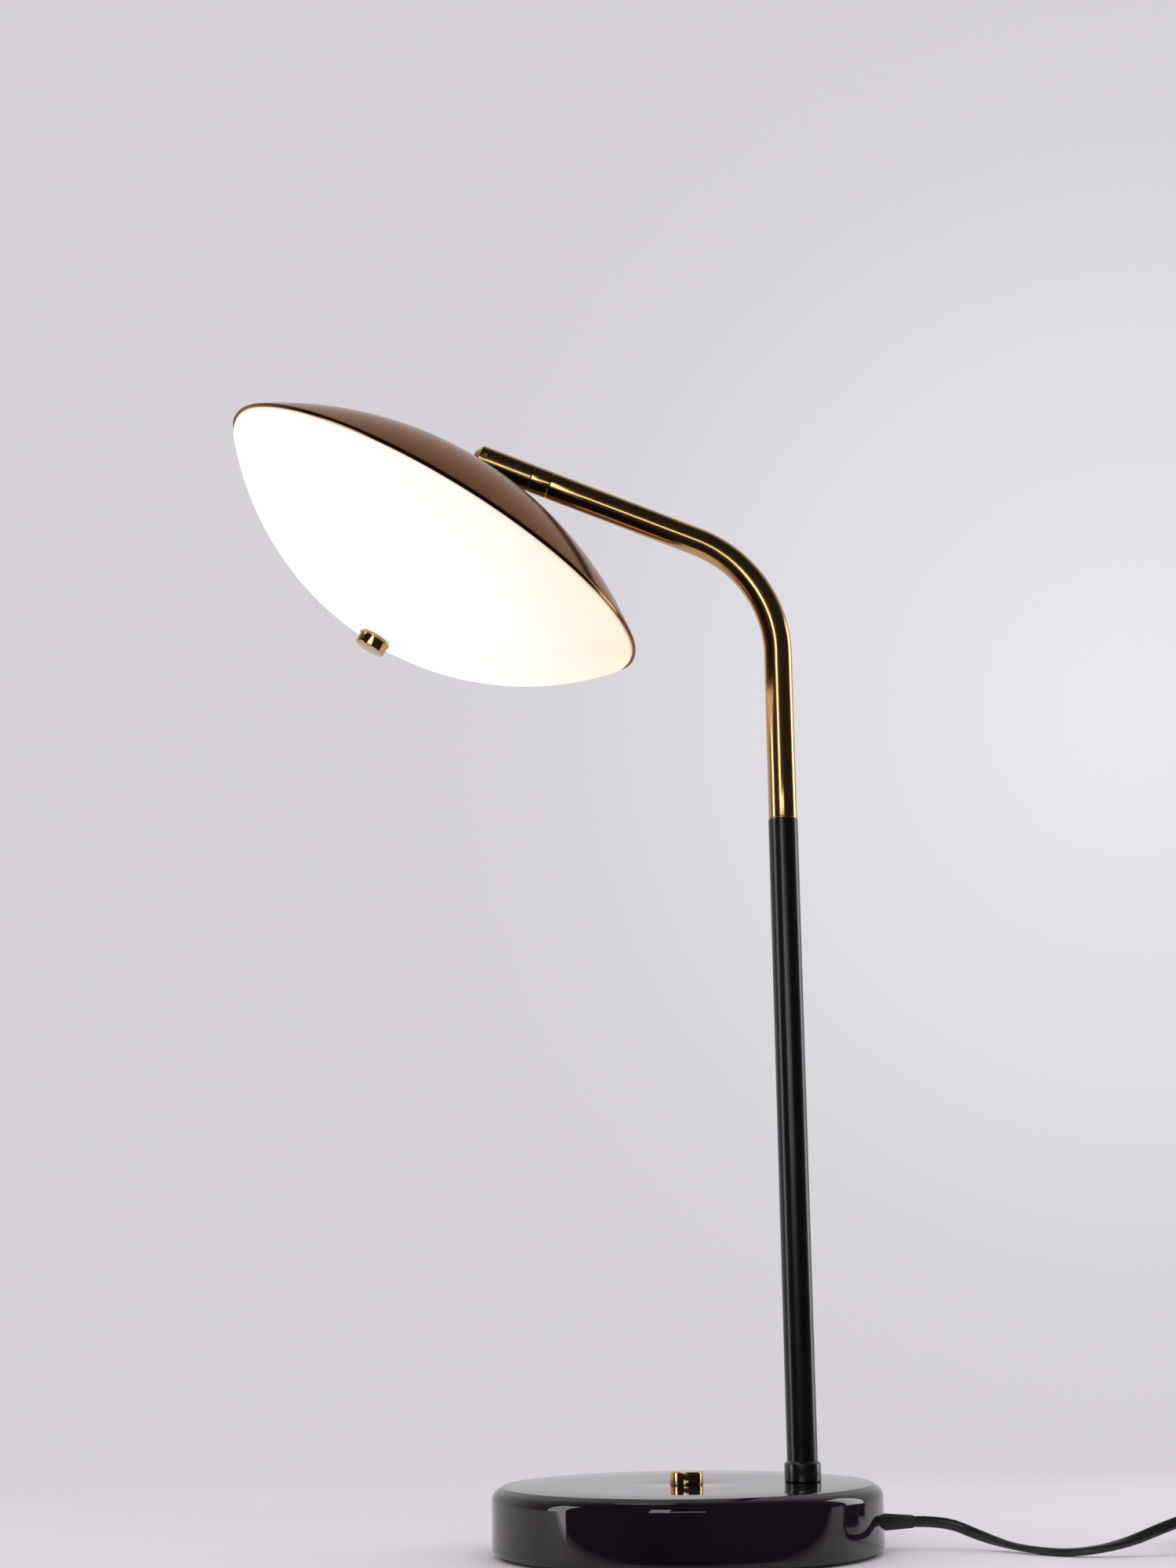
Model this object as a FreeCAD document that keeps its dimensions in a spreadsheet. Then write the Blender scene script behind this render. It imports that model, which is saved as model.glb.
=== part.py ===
import FreeCAD, Part
import math
import os
import re
import Sketcher

# Dome shade desk lamp, millimetres, +Z up. The origin is the centre of the round base on the
# table. The post stands on +X, the arm leads back over the base towards -X and the cord leaves at +X.

os.makedirs("parts", exist_ok=True)
doc = FreeCAD.newDocument("DomeShadeDeskLamp")

# ---------------------------------------------------------------- driving dimensions
SIZES = {
    # fits and clearances
    "runningFit": 0.05,         # radial play of a shaft that turns in its bush
    "slideFit": 0.25,           # radial play round the push button
    "faceGap": 0.3,             # play between faces that turn on each other
    "fixedFit": 0.03,           # radial play of a part that is pushed in and stays
    "restGap": 0.05,            # room under a lead or cord that lies on a surface
    "overcut": 1.0,             # how far a cutting tool runs past the face that it opens
    # base shell
    "baseRadius": 90.0,
    "baseHeight": 31.0,
    "baseEdgeWidth": 4.7,
    "baseBevelRun": 2.0,
    "baseBevelAngle": 30.0,
    "baseShoulderRadius": 5.4,
    "baseTopWall": 3.0,
    "baseSideWall": 2.5,
    "baseLipWidth": 3.5,
    "baseLipHeight": 3.5,
    "baseFootGap": 1.2,
    # base weight
    "weightPlay": 2.5,
    "weightHeight": 19.0,
    "weightChamfer": 5.0,
    "weightBossRadius": 6.0,
    "weightBossSunk": 1.0,
    "channelWidth": 26.0,
    "channelHeight": 10.0,
    "nutRecessPlay": 2.0,
    "moduleWellPlay": 2.0,
    # bottom cover, its screws and the foot ring
    "footHeight": 2.0,
    "footWidth": 16.2,
    "coverHeight": 1.5,
    "coverPlay": 0.3,
    "screwInset": 10.0,
    "screwCount": 4,
    "screwFirstAngle": 45.0,
    "screwRadius": 2.0,
    "screwLength": 10.0,
    "screwHeadRadius": 3.8,
    "screwHeadHeight": 1.5,
    # push button, its spring and switch module
    "buttonRadius": 7.65,
    "buttonHeight": 5.6,
    "buttonChamfer": 0.5,
    "buttonTravel": 2.0,
    "buttonFlangeStep": 1.15,
    "buttonFlangeHeight": 1.6,
    "buttonFlangeGap": 0.4,
    "buttonStemRadius": 3.0,
    "buttonStemLength": 6.3,
    "moduleRadius": 16.0,
    "buttonStopGap": 1.0,
    "springWellRadius": 6.2,
    "springWellDepth": 7.0,
    "springRadius": 4.6,
    "springWire": 0.9,
    "springTurns": 4,
    # driver and terminal block
    "driverLength": 40.0,
    "driverWidth": 46.0,
    "driverHeight": 16.0,
    "driverOffset": 28.0,
    "driverWellPlay": 2.0,
    "terminalLength": 14.0,
    "terminalWidth": 18.0,
    "terminalHeight": 12.0,
    "terminalOffset": 24.0,
    # post, collar, nipple and sleeve
    "postOffset": 54.0,
    "postRadius": 7.15,
    "postWall": 1.25,
    "seamHeight": 343.0,
    "collarWall": 1.35,
    "collarHeight": 9.4,
    "collarTopChamfer": 1.3,
    "collarFootChamfer": 0.4,
    "postBushHeight": 30.0,
    "nippleRadius": 5.0,
    "nippleBore": 3.4,
    "nippleAbove": 27.0,
    "nippleDrop": 8.0,
    "washerRadius": 11.0,
    "washerHeight": 1.5,
    "nutAcross": 14.0,
    "nutHeight": 4.0,
    "sleeveBelow": 30.0,
    "sleeveAbove": 30.0,
    "sleeveBore": 3.5,
    "seamWasherHeight": 0.4,
    # arm
    "armRadius": 6.9,
    "armWall": 1.25,
    "armBendStart": 426.9,
    "armBendRadius": 62.1,
    "armRise": 21.7,
    "armReach": 78.4,
    "armBushInside": 18.0,
    "spigotStep": 0.35,
    "ringLength": 10.2,
    # head swivel
    "studRadius": 3.5,
    "studBore": 2.2,
    "studInside": 27.0,
    "studWeb": 3.0,
    "studNutAcross": 8.6,
    "studNutHeight": 3.5,
    "springWasherRadius": 4.9,
    "springWasherHeight": 1.6,
    "thrustInset": 0.4,
    "knuckleOverhang": 5.5,
    "knuckleNose": 3.0,
    "knuckleNoseRadius": 3.4,
    "slotWidth": 6.0,
    "slotRoofGap": 0.4,
    "slotHeel": 8.0,
    # head tilt
    "pivotInKnuckle": 25.0,
    "pivotPinRadius": 1.5,
    "pivotPinSunk": 0.5,
    "tongueRadius": 3.9,
    "tongueThickness": 5.0,
    "tongueWidth": 7.6,
    "pivotWasherRadius": 3.5,
    "shoulderRadius": 5.2,
    "shoulderHeight": 0.7,
    "shankRadius": 4.0,
    "shankLength": 34.0,
    "leadHolePlay": 0.1,
    "leadHoleOffset": 2.75,
    # shade shell
    "shadeTilt": 30.4,
    "pivotAboveShade": 8.7,
    "shadeRadius": 115.0,
    "shadeHeight": 42.5,
    "shadeLip": 1.5,
    "shadeWall": 1.2,
    # glass seat and opal glass
    "glassInset": 1.5,
    "glassWall": 3.0,
    "glassDepth": 55.3,
    "glassBand": 2.2,
    "glassShoulder": 5.0,
    "glassTop": 0.7,
    "gasketHeight": 0.9,
    "gasketWidth": 7.0,
    "galleryHeight": 1.5,
    "galleryStep": 2.0,
    # light source
    "carrierRadius": 62.0,
    "carrierHeight": 2.0,
    "carrierHang": 26.5,
    "boardRadius": 58.0,
    "boardHeight": 1.6,
    "boardHole": 11.0,
    "chipSide": 3.5,
    "chipHeight": 0.9,
    "chipRingRadius": 44.0,
    "chipCount": 12,
    "stemNutAcross": 13.0,
    "stemNutHeight": 4.0,
    "shellWasherRadius": 8.0,
    "shellWasherHeight": 1.2,
    # finial and its rod
    "rodRadius": 2.5,
    "rodInShank": 14.0,
    "rodInFinial": 4.0,
    "finialRadius": 7.7,
    "finialHeight": 6.5,
    "finialRimStep": 0.5,
    "finialRimHeight": 1.1,
    "finialChamfer": 0.4,
    "finialGasketHeight": 0.5,
    "finialGasketInset": 0.5,
    "glassHolePlay": 0.7,
    # inner leads
    "leadRadius": 1.5,
    "leadBend": 9.0,
    "mainsLeadOffset": 5.4,
    "headLeadRadius": 0.8,
    "headLeadAbovePivot": 1.5,
    "headLeadTurnHeight": 28.0,
    "headLeadReach": 15.0,
    # mains cord
    "cordDiameter": 5.0,
    "cordHeight": 12.4,
    "reliefOutside": 14.5,
    "reliefInside": 5.0,
    "reliefRootWall": 1.4,
    "reliefRootLength": 1.0,
    "reliefTipWall": 0.4,
    "reliefFlangeStep": 1.5,
    "reliefFlangeHeight": 1.5,
    "coilReach": 167.5,
    "coilCentreDeep": -9.0,
    "coilOuterRadius": 33.2,
    "coilGap": 0.5,
    "coilLayers": 4,
    "coilTurnsPerLayer": 2.3125,
    "coilStepsPerLayer": 10,
    "coilTailLength": 26.0,
    "coilTailShift": 5.0,
    # plug
    "plugThickness": 13.7,
    "plugFaceWidth": 35.0,
    "plugNeckWidth": 12.0,
    "plugBodyLength": 34.0,
    "plugFrontLength": 12.0,
    "plugRounding": 2.5,
    "plugReliefLength": 18.0,
    "plugReliefRadius": 4.6,
    "plugReliefTipWall": 0.6,
    "pinRadius": 2.0,
    "pinLength": 19.0,
    "pinSpacing": 18.6,
}

# sizes that follow from the driving ones
DERIVED = {
    "baseFlatRadius": "baseRadius - baseEdgeWidth",
    "baseShoulderHeight": "baseHeight - baseBevelRun * tan(baseBevelAngle)"
                          " - baseShoulderRadius * cos(baseBevelAngle)",
    "baseBevelOuter": "baseFlatRadius + baseBevelRun",
    "baseBevelLow": "baseHeight - baseBevelRun * tan(baseBevelAngle)",
    "baseShoulderCentre": "baseRadius - baseShoulderRadius",
    "baseInnerRadius": "baseRadius - baseSideWall",
    "weightRadius": "baseInnerRadius - weightPlay",
    "baseCeiling": "baseHeight - baseTopWall",
    "coverRadius": "baseRadius - baseLipWidth - coverPlay",
    "footInnerRadius": "coverRadius - footWidth",
    "screwCircleRadius": "footInnerRadius - screwInset",
    "coverTop": "footHeight + coverHeight",
    "weightFloor": "baseCeiling - weightHeight",
    "channelCeiling": "weightFloor + channelHeight",
    "nutRecessRadius": "washerRadius + nutRecessPlay",
    "moduleWellRadius": "moduleRadius + moduleWellPlay",
    "buttonTop": "baseHeight + buttonHeight",
    "buttonFlangeTop": "baseCeiling - buttonFlangeGap",
    "buttonFlangeLow": "buttonFlangeTop - buttonFlangeHeight",
    "buttonFlangeRadius": "buttonRadius + buttonFlangeStep",
    "moduleTop": "buttonFlangeLow - buttonTravel - buttonStopGap",
    "buttonHoleRadius": "buttonRadius + slideFit",
    "springFloor": "moduleTop - springWellDepth",
    "postBore": "postRadius - postWall",
    "collarRadius": "postRadius + collarWall",
    "nippleTop": "baseHeight + nippleAbove",
    "nippleFoot": "channelCeiling - nippleDrop",
    "armBore": "armRadius - armWall",
    "armSpigotRadius": "armBore - spigotStep",
    "thrustWasherRadius": "armRadius - thrustInset",
    "armFoot": "seamHeight + seamWasherHeight",
    "bendEndX": "postOffset - armBendRadius * (1 - sin(armRise))",
    "bendEndZ": "armBendStart + armBendRadius * cos(armRise)",
    "armLean": "90 - armRise",
    "ringEnd": "armReach + ringLength",
    "knuckleStart": "armReach + ringLength + faceGap",
    "pivotReach": "knuckleStart + pivotInKnuckle",
    "knuckleLength": "pivotInKnuckle + knuckleOverhang",
    "studInKnuckle": "pivotInKnuckle - slotHeel - studWeb",
    "slotRoof": "tongueRadius + slotRoofGap",
    "pivotPinLength": "(armRadius - pivotPinSunk) * 2",
    "knuckleEnd": "knuckleStart + knuckleLength",
    "slotLow": "pivotReach - slotHeel",
    "pivotX": "bendEndX - pivotReach * cos(armRise)",
    "pivotZ": "bendEndZ + pivotReach * sin(armRise)",
    "pivotAboveRim": "pivotAboveShade + shadeHeight",
    "rimX": "pivotX - pivotAboveRim * sin(shadeTilt)",
    "rimZ": "pivotZ - pivotAboveRim * cos(shadeTilt)",
    "leadHoleRadius": "headLeadRadius + leadHolePlay",
    "glassRadius": "shadeRadius - glassInset",
    "gasketInnerRadius": "glassRadius - gasketWidth",
    "galleryInnerRadius": "gasketInnerRadius - galleryStep",
    "glassHoleRadius": "rodRadius + glassHolePlay",
    "shadeCapHeight": "shadeHeight - shadeLip",
    "shadeCapRadius": "(shadeRadius ^ 2 + shadeCapHeight ^ 2) / (2 * shadeCapHeight)",
    "shadeCapCentre": "shadeHeight - shadeCapRadius",
    "shadeInnerCap": "shadeCapRadius - shadeWall",
    "shadeInnerRadius": "shadeRadius - shadeWall",
    "shankHoleRadius": "shankRadius + fixedFit",
    "gasketTop": "glassTop + gasketHeight",
    "gasketRadius": "sqrt(shadeInnerCap ^ 2 - (gasketTop - shadeCapCentre) ^ 2) - fixedFit",
    "galleryTop": "gasketTop + galleryHeight",
    "galleryRadius": "sqrt(shadeInnerCap ^ 2 - (galleryTop - shadeCapCentre) ^ 2) - fixedFit",
    "glassCapHeight": "glassDepth - glassBand",
    "glassCapRadius": "(glassRadius ^ 2 + glassCapHeight ^ 2) / (2 * glassCapHeight)",
    "glassCapCentre": "glassCapRadius - glassDepth",
    "glassInnerCap": "glassCapRadius - glassWall",
    "glassInnerRadius": "glassRadius - glassWall",
    "shankFoot": "shadeHeight - shankLength",
    "shellWasherTop": "shadeCapCentre + sqrt(shadeInnerCap ^ 2 - shellWasherRadius ^ 2)",
    "shellNutTop": "shellWasherTop - shellWasherHeight",
    "carrierTop": "shadeHeight - carrierHang",
    "carrierFoot": "carrierTop - carrierHeight",
    "boardFoot": "carrierFoot - boardHeight",
    "finialRimRadius": "finialRadius + finialRimStep",
    "finialGasketRadius": "finialRadius - finialGasketInset",
    "finialSeat": "-glassDepth - finialGasketHeight",
    "finialFoot": "-glassDepth - finialHeight",
    "cordRadius": "cordDiameter / 2",
    "reliefRootRadius": "cordRadius + reliefRootWall",
    "reliefTipRadius": "cordRadius + reliefTipWall",
    "reliefFlangeRadius": "reliefRootRadius + reliefFlangeStep",
    "plugReliefTipRadius": "cordRadius + plugReliefTipWall",
    "reliefTip": "baseRadius + reliefOutside",
    "coilCentreAcross": "reliefTip + coilReach",
    "coilPitch": "cordDiameter + coilGap",
    "coilFloor": "cordRadius + restGap",
}

sheet = doc.addObject("Spreadsheet::Sheet", "Sizes")
for row, (alias, number) in enumerate(SIZES.items(), start=1):
    sheet.set("A%d" % row, alias)
    sheet.set("B%d" % row, str(number))
    sheet.setAlias("B%d" % row, alias)
doc.recompute()

WORD = re.compile(r"[A-Za-z_]\w*")


def formula(text):
    """Gives the sheet's name to every size in a formula written with plain words."""
    def spell(match):
        word = match.group(0)
        if word in SIZES:
            return "Sizes." + word
        if word in DERIVED:
            return "Derived." + word
        return word
    return WORD.sub(spell, str(text))


derivedSheet = doc.addObject("Spreadsheet::Sheet", "Derived")
for row, (alias, text) in enumerate(DERIVED.items(), start=1):
    derivedSheet.set("A%d" % row, alias)
    derivedSheet.set("B%d" % row, "=" + formula(text).replace("Derived.", ""))
    derivedSheet.setAlias("B%d" % row, alias)
    doc.recompute()


def value(text):
    """The number that a formula gives now."""
    result = sheet.evalExpression(formula(text))
    return float(getattr(result, "Value", result))


def bind(thing, key, text):
    thing.setExpression(key, formula(text))


def place(thing, x="0", y="0", z="0", axis=None, angle="0"):
    """Puts a piece at a point, turned by a positive angle about an axis."""
    turn = FreeCAD.Rotation(axis, value(angle)) if axis else FreeCAD.Rotation()
    thing.Placement = FreeCAD.Placement(FreeCAD.Vector(value(x), value(y), value(z)), turn)
    bind(thing, "Placement.Base.x", x)
    bind(thing, "Placement.Base.y", y)
    bind(thing, "Placement.Base.z", z)
    if axis:
        bind(thing, "Placement.Rotation.Angle", angle)


# ---------------------------------------------------------------- building blocks
ACROSS = FreeCAD.Vector(1, 0, 0)
DEEP = FreeCAD.Vector(0, 1, 0)
UP = FreeCAD.Vector(0, 0, 1)
TOWARDS_ARM = FreeCAD.Vector(0, -1, 0)
finished = []


def keep(thing, label):
    """Marks a finished sub-part. Its label names its file."""
    thing.Label = label
    finished.append(thing)
    return thing


def originPlane(body, role):
    return [feature for feature in body.Origin.OriginFeatures if feature.Role == role][0]


def drawOutline(sketch, corners, arcs=None):
    """Draws a closed outline.

    A corner is (x, y) or (x, y, pins), where pins says which of the two is held. The arcs are
    given by the number of the corner that they start at, and the point that they turn about.
    """
    arcs = arcs or {}
    points = [FreeCAD.Vector(value(corner[0]), value(corner[1]), 0) for corner in corners]
    ends = []
    for number, start in enumerate(points):
        stop = points[(number + 1) % len(points)]
        if number not in arcs:
            sketch.addGeometry(Part.LineSegment(start, stop), False)
            ends.append((1, 2))
            continue
        centre = FreeCAD.Vector(value(arcs[number][0]), value(arcs[number][1]), 0)
        circle = Part.Circle(centre, UP, (start - centre).Length)
        first = math.atan2(start.y - centre.y, start.x - centre.x)
        last = math.atan2(stop.y - centre.y, stop.x - centre.x)
        forward = (start - centre).cross(stop - centre).z > 0
        if forward:
            sketch.addGeometry(Part.ArcOfCircle(circle, first, last), False)
            ends.append((1, 2))
        else:
            sketch.addGeometry(Part.ArcOfCircle(circle, last, first), False)
            ends.append((2, 1))
    for number in range(len(points)):
        after = (number + 1) % len(points)
        sketch.addConstraint(Sketcher.Constraint(
            "Coincident", number, ends[number][1], after, ends[after][0]))

    def pin(kind, name, geometry, point, text):
        index = sketch.addConstraint(Sketcher.Constraint(kind, -1, 1, geometry, point, value(text)))
        sketch.renameConstraint(index, name)
        bind(sketch, "Constraints." + name, text)

    for number, corner in enumerate(corners):
        pins = corner[2] if len(corner) > 2 else "xy"
        if "x" in pins:
            pin("DistanceX", "across%d" % number, number, ends[number][0], corner[0])
        if "y" in pins:
            pin("DistanceY", "up%d" % number, number, ends[number][0], corner[1])
    for number, centre in arcs.items():
        pin("DistanceX", "centreAcross%d" % number, number, 3, centre[0])
        pin("DistanceY", "centreUp%d" % number, number, 3, centre[1])


def sketchIn(body, role, corners, arcs=None):
    sketch = body.newObject("Sketcher::SketchObject", body.Name + "_outline")
    sketch.AttachmentSupport = [(originPlane(body, role), "")]
    sketch.MapMode = "FlatFace"
    drawOutline(sketch, corners, arcs)
    return sketch


def turned(name, corners, arcs=None):
    """A turned piece: the outline holds (radius, height) corners, spun about the body's Z axis."""
    body = doc.addObject("PartDesign::Body", name)
    sketch = sketchIn(body, "XZ_Plane", corners, arcs)
    spin = body.newObject("PartDesign::Revolution", name + "_spin")
    spin.Profile = sketch
    spin.ReferenceAxis = (sketch, ["V_Axis"])
    spin.Angle = 360
    return body


def padded(name, corners, height):
    """A flat piece: the outline lies in the XY plane and is raised to its height."""
    body = doc.addObject("PartDesign::Body", name)
    sketch = sketchIn(body, "XY_Plane", corners)
    pad = body.newObject("PartDesign::Pad", name + "_pad")
    pad.Profile = sketch
    bind(pad, "Length", height)
    return body


def ring(name, inner, outer, low, high):
    """A plain ring, washer or tube about the body's Z axis."""
    return turned(name, [(inner, low), (outer, low), (outer, high), (inner, high)])


def cylinder(name, radius, height, x="0", y="0", z="0", axis=None, angle="0"):
    shape = doc.addObject("Part::Cylinder", name)
    bind(shape, "Radius", radius)
    bind(shape, "Height", height)
    place(shape, x, y, z, axis, angle)
    return shape


def block(name, length, width, height, x="0", y="0", z="0", axis=None, angle="0"):
    shape = doc.addObject("Part::Box", name)
    bind(shape, "Length", length)
    bind(shape, "Width", width)
    bind(shape, "Height", height)
    place(shape, x, y, z, axis, angle)
    return shape


def joined(name, shapes):
    union = doc.addObject("Part::MultiFuse", name)
    union.Shapes = shapes
    return union


def grouped(name, shapes):
    """Separate solids of one kind that share a node."""
    group = doc.addObject("Part::Compound", name)
    group.Links = shapes
    return group


def cutFrom(name, base, tools):
    """Takes the tools out of the base, and makes sure that each of them met it."""
    doc.recompute()
    for tool in tools:
        if base.Shape.common(tool.Shape).Volume < 0.01:
            raise ValueError(name + ": " + tool.Name + " cuts nothing")
    cut = doc.addObject("Part::Cut", name)
    cut.Base = base
    cut.Tool = tools[0] if len(tools) == 1 else joined(name + "_tools", tools)
    return cut


def hexNut(name, across, bore, height, z="0"):
    """A hexagon nut about the Z axis, with its thread as a plain bore."""
    prism = doc.addObject("Part::Prism", name + "_hex")
    prism.Polygon = 6
    bind(prism, "Circumradius", "%s / 2 / cos(30)" % across)
    bind(prism, "Height", height)
    hole = cylinder(name + "_hole", bore, "%s * 3" % height, z="-%s" % height)
    nut = cutFrom(name, prism, [hole])
    place(nut, z=z)
    return nut


def seat(thing, carrier):
    """Puts a finished piece in the frame of the arm's end or of the shade."""
    if carrier == "arm":
        place(thing, "bendEndX", "0", "bendEndZ", TOWARDS_ARM, "armLean")
    else:
        place(thing, "rimX", "0", "rimZ", DEEP, "shadeTilt")
    return thing


def seatAt(thing, carrier, height):
    """The same, for a piece whose own origin is moved along the carrier's axis."""
    if carrier == "arm":
        place(thing, "bendEndX - (%s) * cos(armRise)" % height, "0",
              "bendEndZ + (%s) * sin(armRise)" % height, TOWARDS_ARM, "armLean")
    else:
        place(thing, "rimX + (%s) * sin(shadeTilt)" % height, "0",
              "rimZ + (%s) * cos(shadeTilt)" % height, DEEP, "shadeTilt")
    return thing


# ---------------------------------------------------------------- round runs of wire and cord
def vector(x, y, z):
    return FreeCAD.Vector(x, y, z)


def arcBetween(start, corner, stop):
    """The arc that touches both legs of a corner, given the equal ends of the legs."""
    half = (stop - start) * 0.5
    middle = start + half
    lift = corner - middle
    if lift.Length < 1e-6:
        return Part.LineSegment(start, stop).toShape()
    legs = (corner - start).Length
    angle = math.asin(min(1.0, half.Length / legs))
    turn = math.pi - 2 * angle
    sagitta = half.Length * math.tan(turn / 4)
    return Part.Arc(start, middle + lift * (sagitta / lift.Length), stop).toShape()


def tangentRuns(points, label):
    """Straight runs joined by tangent arcs, each as large as its two runs allow."""
    edges = []
    radii = []
    last = points[0]
    for before, corner, after in zip(points, points[1:], points[2:]):
        toBefore = before - corner
        toAfter = after - corner
        turn = math.pi - toBefore.getAngle(toAfter)
        shorter = min(toBefore.Length, toAfter.Length)
        radius = 0.45 * shorter / math.tan(turn / 2)
        radii.append(radius)
        start = corner + toBefore.normalize() * (0.45 * shorter)
        stop = corner + toAfter.normalize() * (0.45 * shorter)
        edges.append(Part.LineSegment(last, start).toShape())
        edges.append(arcBetween(start, corner, stop))
        last = stop
    edges.append(Part.LineSegment(last, points[-1]).toShape())
    print(label, "bend radii", [round(radius, 1) for radius in radii])
    return Part.Wire(edges)


def biarc(start, startWay, stop, stopWay):
    """Two arcs that leave one point and reach another, each along a given direction."""
    across = stop - start
    ways = startWay + stopWay
    spread = 2 * (1 - startWay.dot(stopWay))
    along = across.dot(ways)
    if spread < 1e-9:
        reach = across.dot(across) / (4 * across.dot(stopWay))
    else:
        reach = (math.sqrt(along * along + spread * across.dot(across)) - along) / spread
    firstCorner = start + startWay * reach
    lastCorner = stop - stopWay * reach
    middle = (firstCorner + lastCorner) * 0.5
    return [arcBetween(start, firstCorner, middle), arcBetween(middle, lastCorner, stop)]


def windings(nodes, ways):
    """Biarcs through a row of points, each with its own direction."""
    edges = []
    for number in range(len(nodes) - 1):
        edges += biarc(nodes[number], ways[number], nodes[number + 1], ways[number + 1])
    return edges


def pipe(name, path, diameter):
    """One unbroken round tube along a path, with its volume held against section times length."""
    start = path.OrderedVertexes[0].Point
    way = path.OrderedEdges[0].tangentAt(path.OrderedEdges[0].FirstParameter)
    if (path.OrderedEdges[0].valueAt(path.OrderedEdges[0].FirstParameter) - start).Length > 1e-6:
        way = way * -1
    section = Part.Wire([Part.makeCircle(diameter / 2, start, way)])
    solid = path.makePipeShell([section], True, False)
    length = path.Length
    volume = math.pi * diameter ** 2 / 4 * length
    print(name, "length %.1f mm, volume ratio %.4f" % (length, solid.Volume / volume))
    feature = doc.addObject("Part::Feature", name)
    feature.Shape = solid
    return feature


def leastGap(path, diameter):
    """The least gap of a wound tube to itself, measured on points along its middle line."""
    step = diameter / 4
    points = path.discretize(Number=int(path.Length / step) + 1)
    skip = int(3 * diameter / step)
    nearest = path.Length
    for number, point in enumerate(points):
        for other in points[number + skip:]:
            nearest = min(nearest, (point - other).Length)
    return nearest - diameter


# ---------------------------------------------------------------- base
def makeBaseShell():
    """The spun cover of the base: flat top, bevelled and rounded edge, rolled-in foot."""
    shoulder = ("baseShoulderCentre", "baseShoulderHeight")
    foot = ("baseRadius - baseLipWidth", "baseFootGap + baseLipWidth")
    spun = turned("base_shell_spun", [
        ("buttonHoleRadius", "baseHeight"),
        ("baseFlatRadius", "baseHeight"),
        ("baseBevelOuter", "baseBevelLow"),
        ("baseRadius", "baseShoulderHeight", "y"),
        ("baseRadius", "baseFootGap + baseLipWidth"),
        ("baseRadius - baseLipWidth", "baseFootGap", "x"),
        ("baseRadius - baseLipWidth", "baseFootGap + baseLipHeight"),
        ("baseInnerRadius", "baseFootGap + baseLipHeight"),
        ("baseInnerRadius", "baseShoulderHeight"),
        ("baseBevelOuter - baseSideWall", "baseCeiling"),
        ("buttonHoleRadius", "baseCeiling"),
    ], {2: shoulder, 4: foot})
    nippleHole = cylinder("base_nipple_hole", "nippleRadius + fixedFit", "baseHeight", "postOffset")
    cordHole = cylinder("base_cord_hole", "reliefRootRadius + fixedFit", "baseSideWall * 4",
                        "baseRadius - baseSideWall * 2", "0", "cordHeight", DEEP, "90")
    keep(cutFrom("base_shell", spun, [nippleHole, cordHole]), "base_shell")


def screwPlaces():
    """Where the cover's screws stand, as formulas for x and y."""
    for number in range(int(value("screwCount"))):
        angle = "(screwFirstAngle + %d * 360 / screwCount)" % number
        yield number, "screwCircleRadius * cos%s" % angle, "screwCircleRadius * sin%s" % angle


def makeBaseWeight():
    """The cast iron disc that keeps the lamp standing, with wells for what lies in the base."""
    disc = turned("weight_disc", [
        ("0", "weightFloor"),
        ("weightRadius", "weightFloor"),
        ("weightRadius", "baseCeiling - weightChamfer"),
        ("weightRadius - weightChamfer", "baseCeiling"),
        ("0", "baseCeiling"),
    ])
    bosses = [
        cylinder("weight_boss_%d" % number, "weightBossRadius",
                 "weightFloor - coverTop + weightBossSunk", x, y, "coverTop")
        for number, x, y in screwPlaces()
    ]
    casting = joined("weight_casting", [disc] + bosses)
    tools = [
        cylinder("weight_module_well", "moduleWellRadius", "baseHeight"),
        block("weight_driver_well", "driverLength + driverWellPlay * 2",
              "driverWidth + driverWellPlay * 2", "driverHeight + driverWellPlay + coverTop",
              "-driverOffset - driverLength - driverWellPlay", "-driverWidth / 2 - driverWellPlay"),
        block("weight_channel", "baseRadius", "channelWidth", "channelCeiling",
              "0", "-channelWidth / 2"),
        cylinder("weight_nut_recess", "nutRecessRadius", "channelCeiling", "postOffset"),
        cylinder("weight_nipple_hole", "nippleRadius + fixedFit", "baseHeight", "postOffset"),
    ]
    for number, x, y in screwPlaces():
        tools.append(cylinder("weight_screw_hole_%d" % number, "screwRadius + fixedFit",
                              "screwLength + overcut", x, y, "coverTop - overcut"))
    keep(cutFrom("base_weight", casting, tools), "base_weight")


def makeBottomCover():
    """The steel plate under the base, its countersunk screws and the soft ring that it stands on."""
    disc = cylinder("cover_disc", "coverRadius", "coverHeight", z="footHeight")
    holes = [
        cylinder("cover_hole_%d" % number, "screwRadius + slideFit", "coverHeight * 3", x, y,
                 "footHeight - coverHeight")
        for number, x, y in screwPlaces()
    ]
    keep(cutFrom("bottom_cover", disc, holes), "bottom_cover")
    foot = ring("foot_ring", "footInnerRadius", "coverRadius", "0", "footHeight")
    keep(foot, "foot_ring")
    screws = []
    for number, x, y in screwPlaces():
        screw = turned("cover_screw_%d" % number, [
            ("0", "footHeight - screwHeadHeight"),
            ("screwHeadRadius", "footHeight - screwHeadHeight"),
            ("screwHeadRadius", "footHeight"),
            ("screwRadius", "footHeight"),
            ("screwRadius", "footHeight + screwLength"),
            ("0", "footHeight + screwLength"),
        ])
        place(screw, x, y)
        screws.append(screw)
    keep(grouped("cover_screws", screws), "cover_screws")


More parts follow.
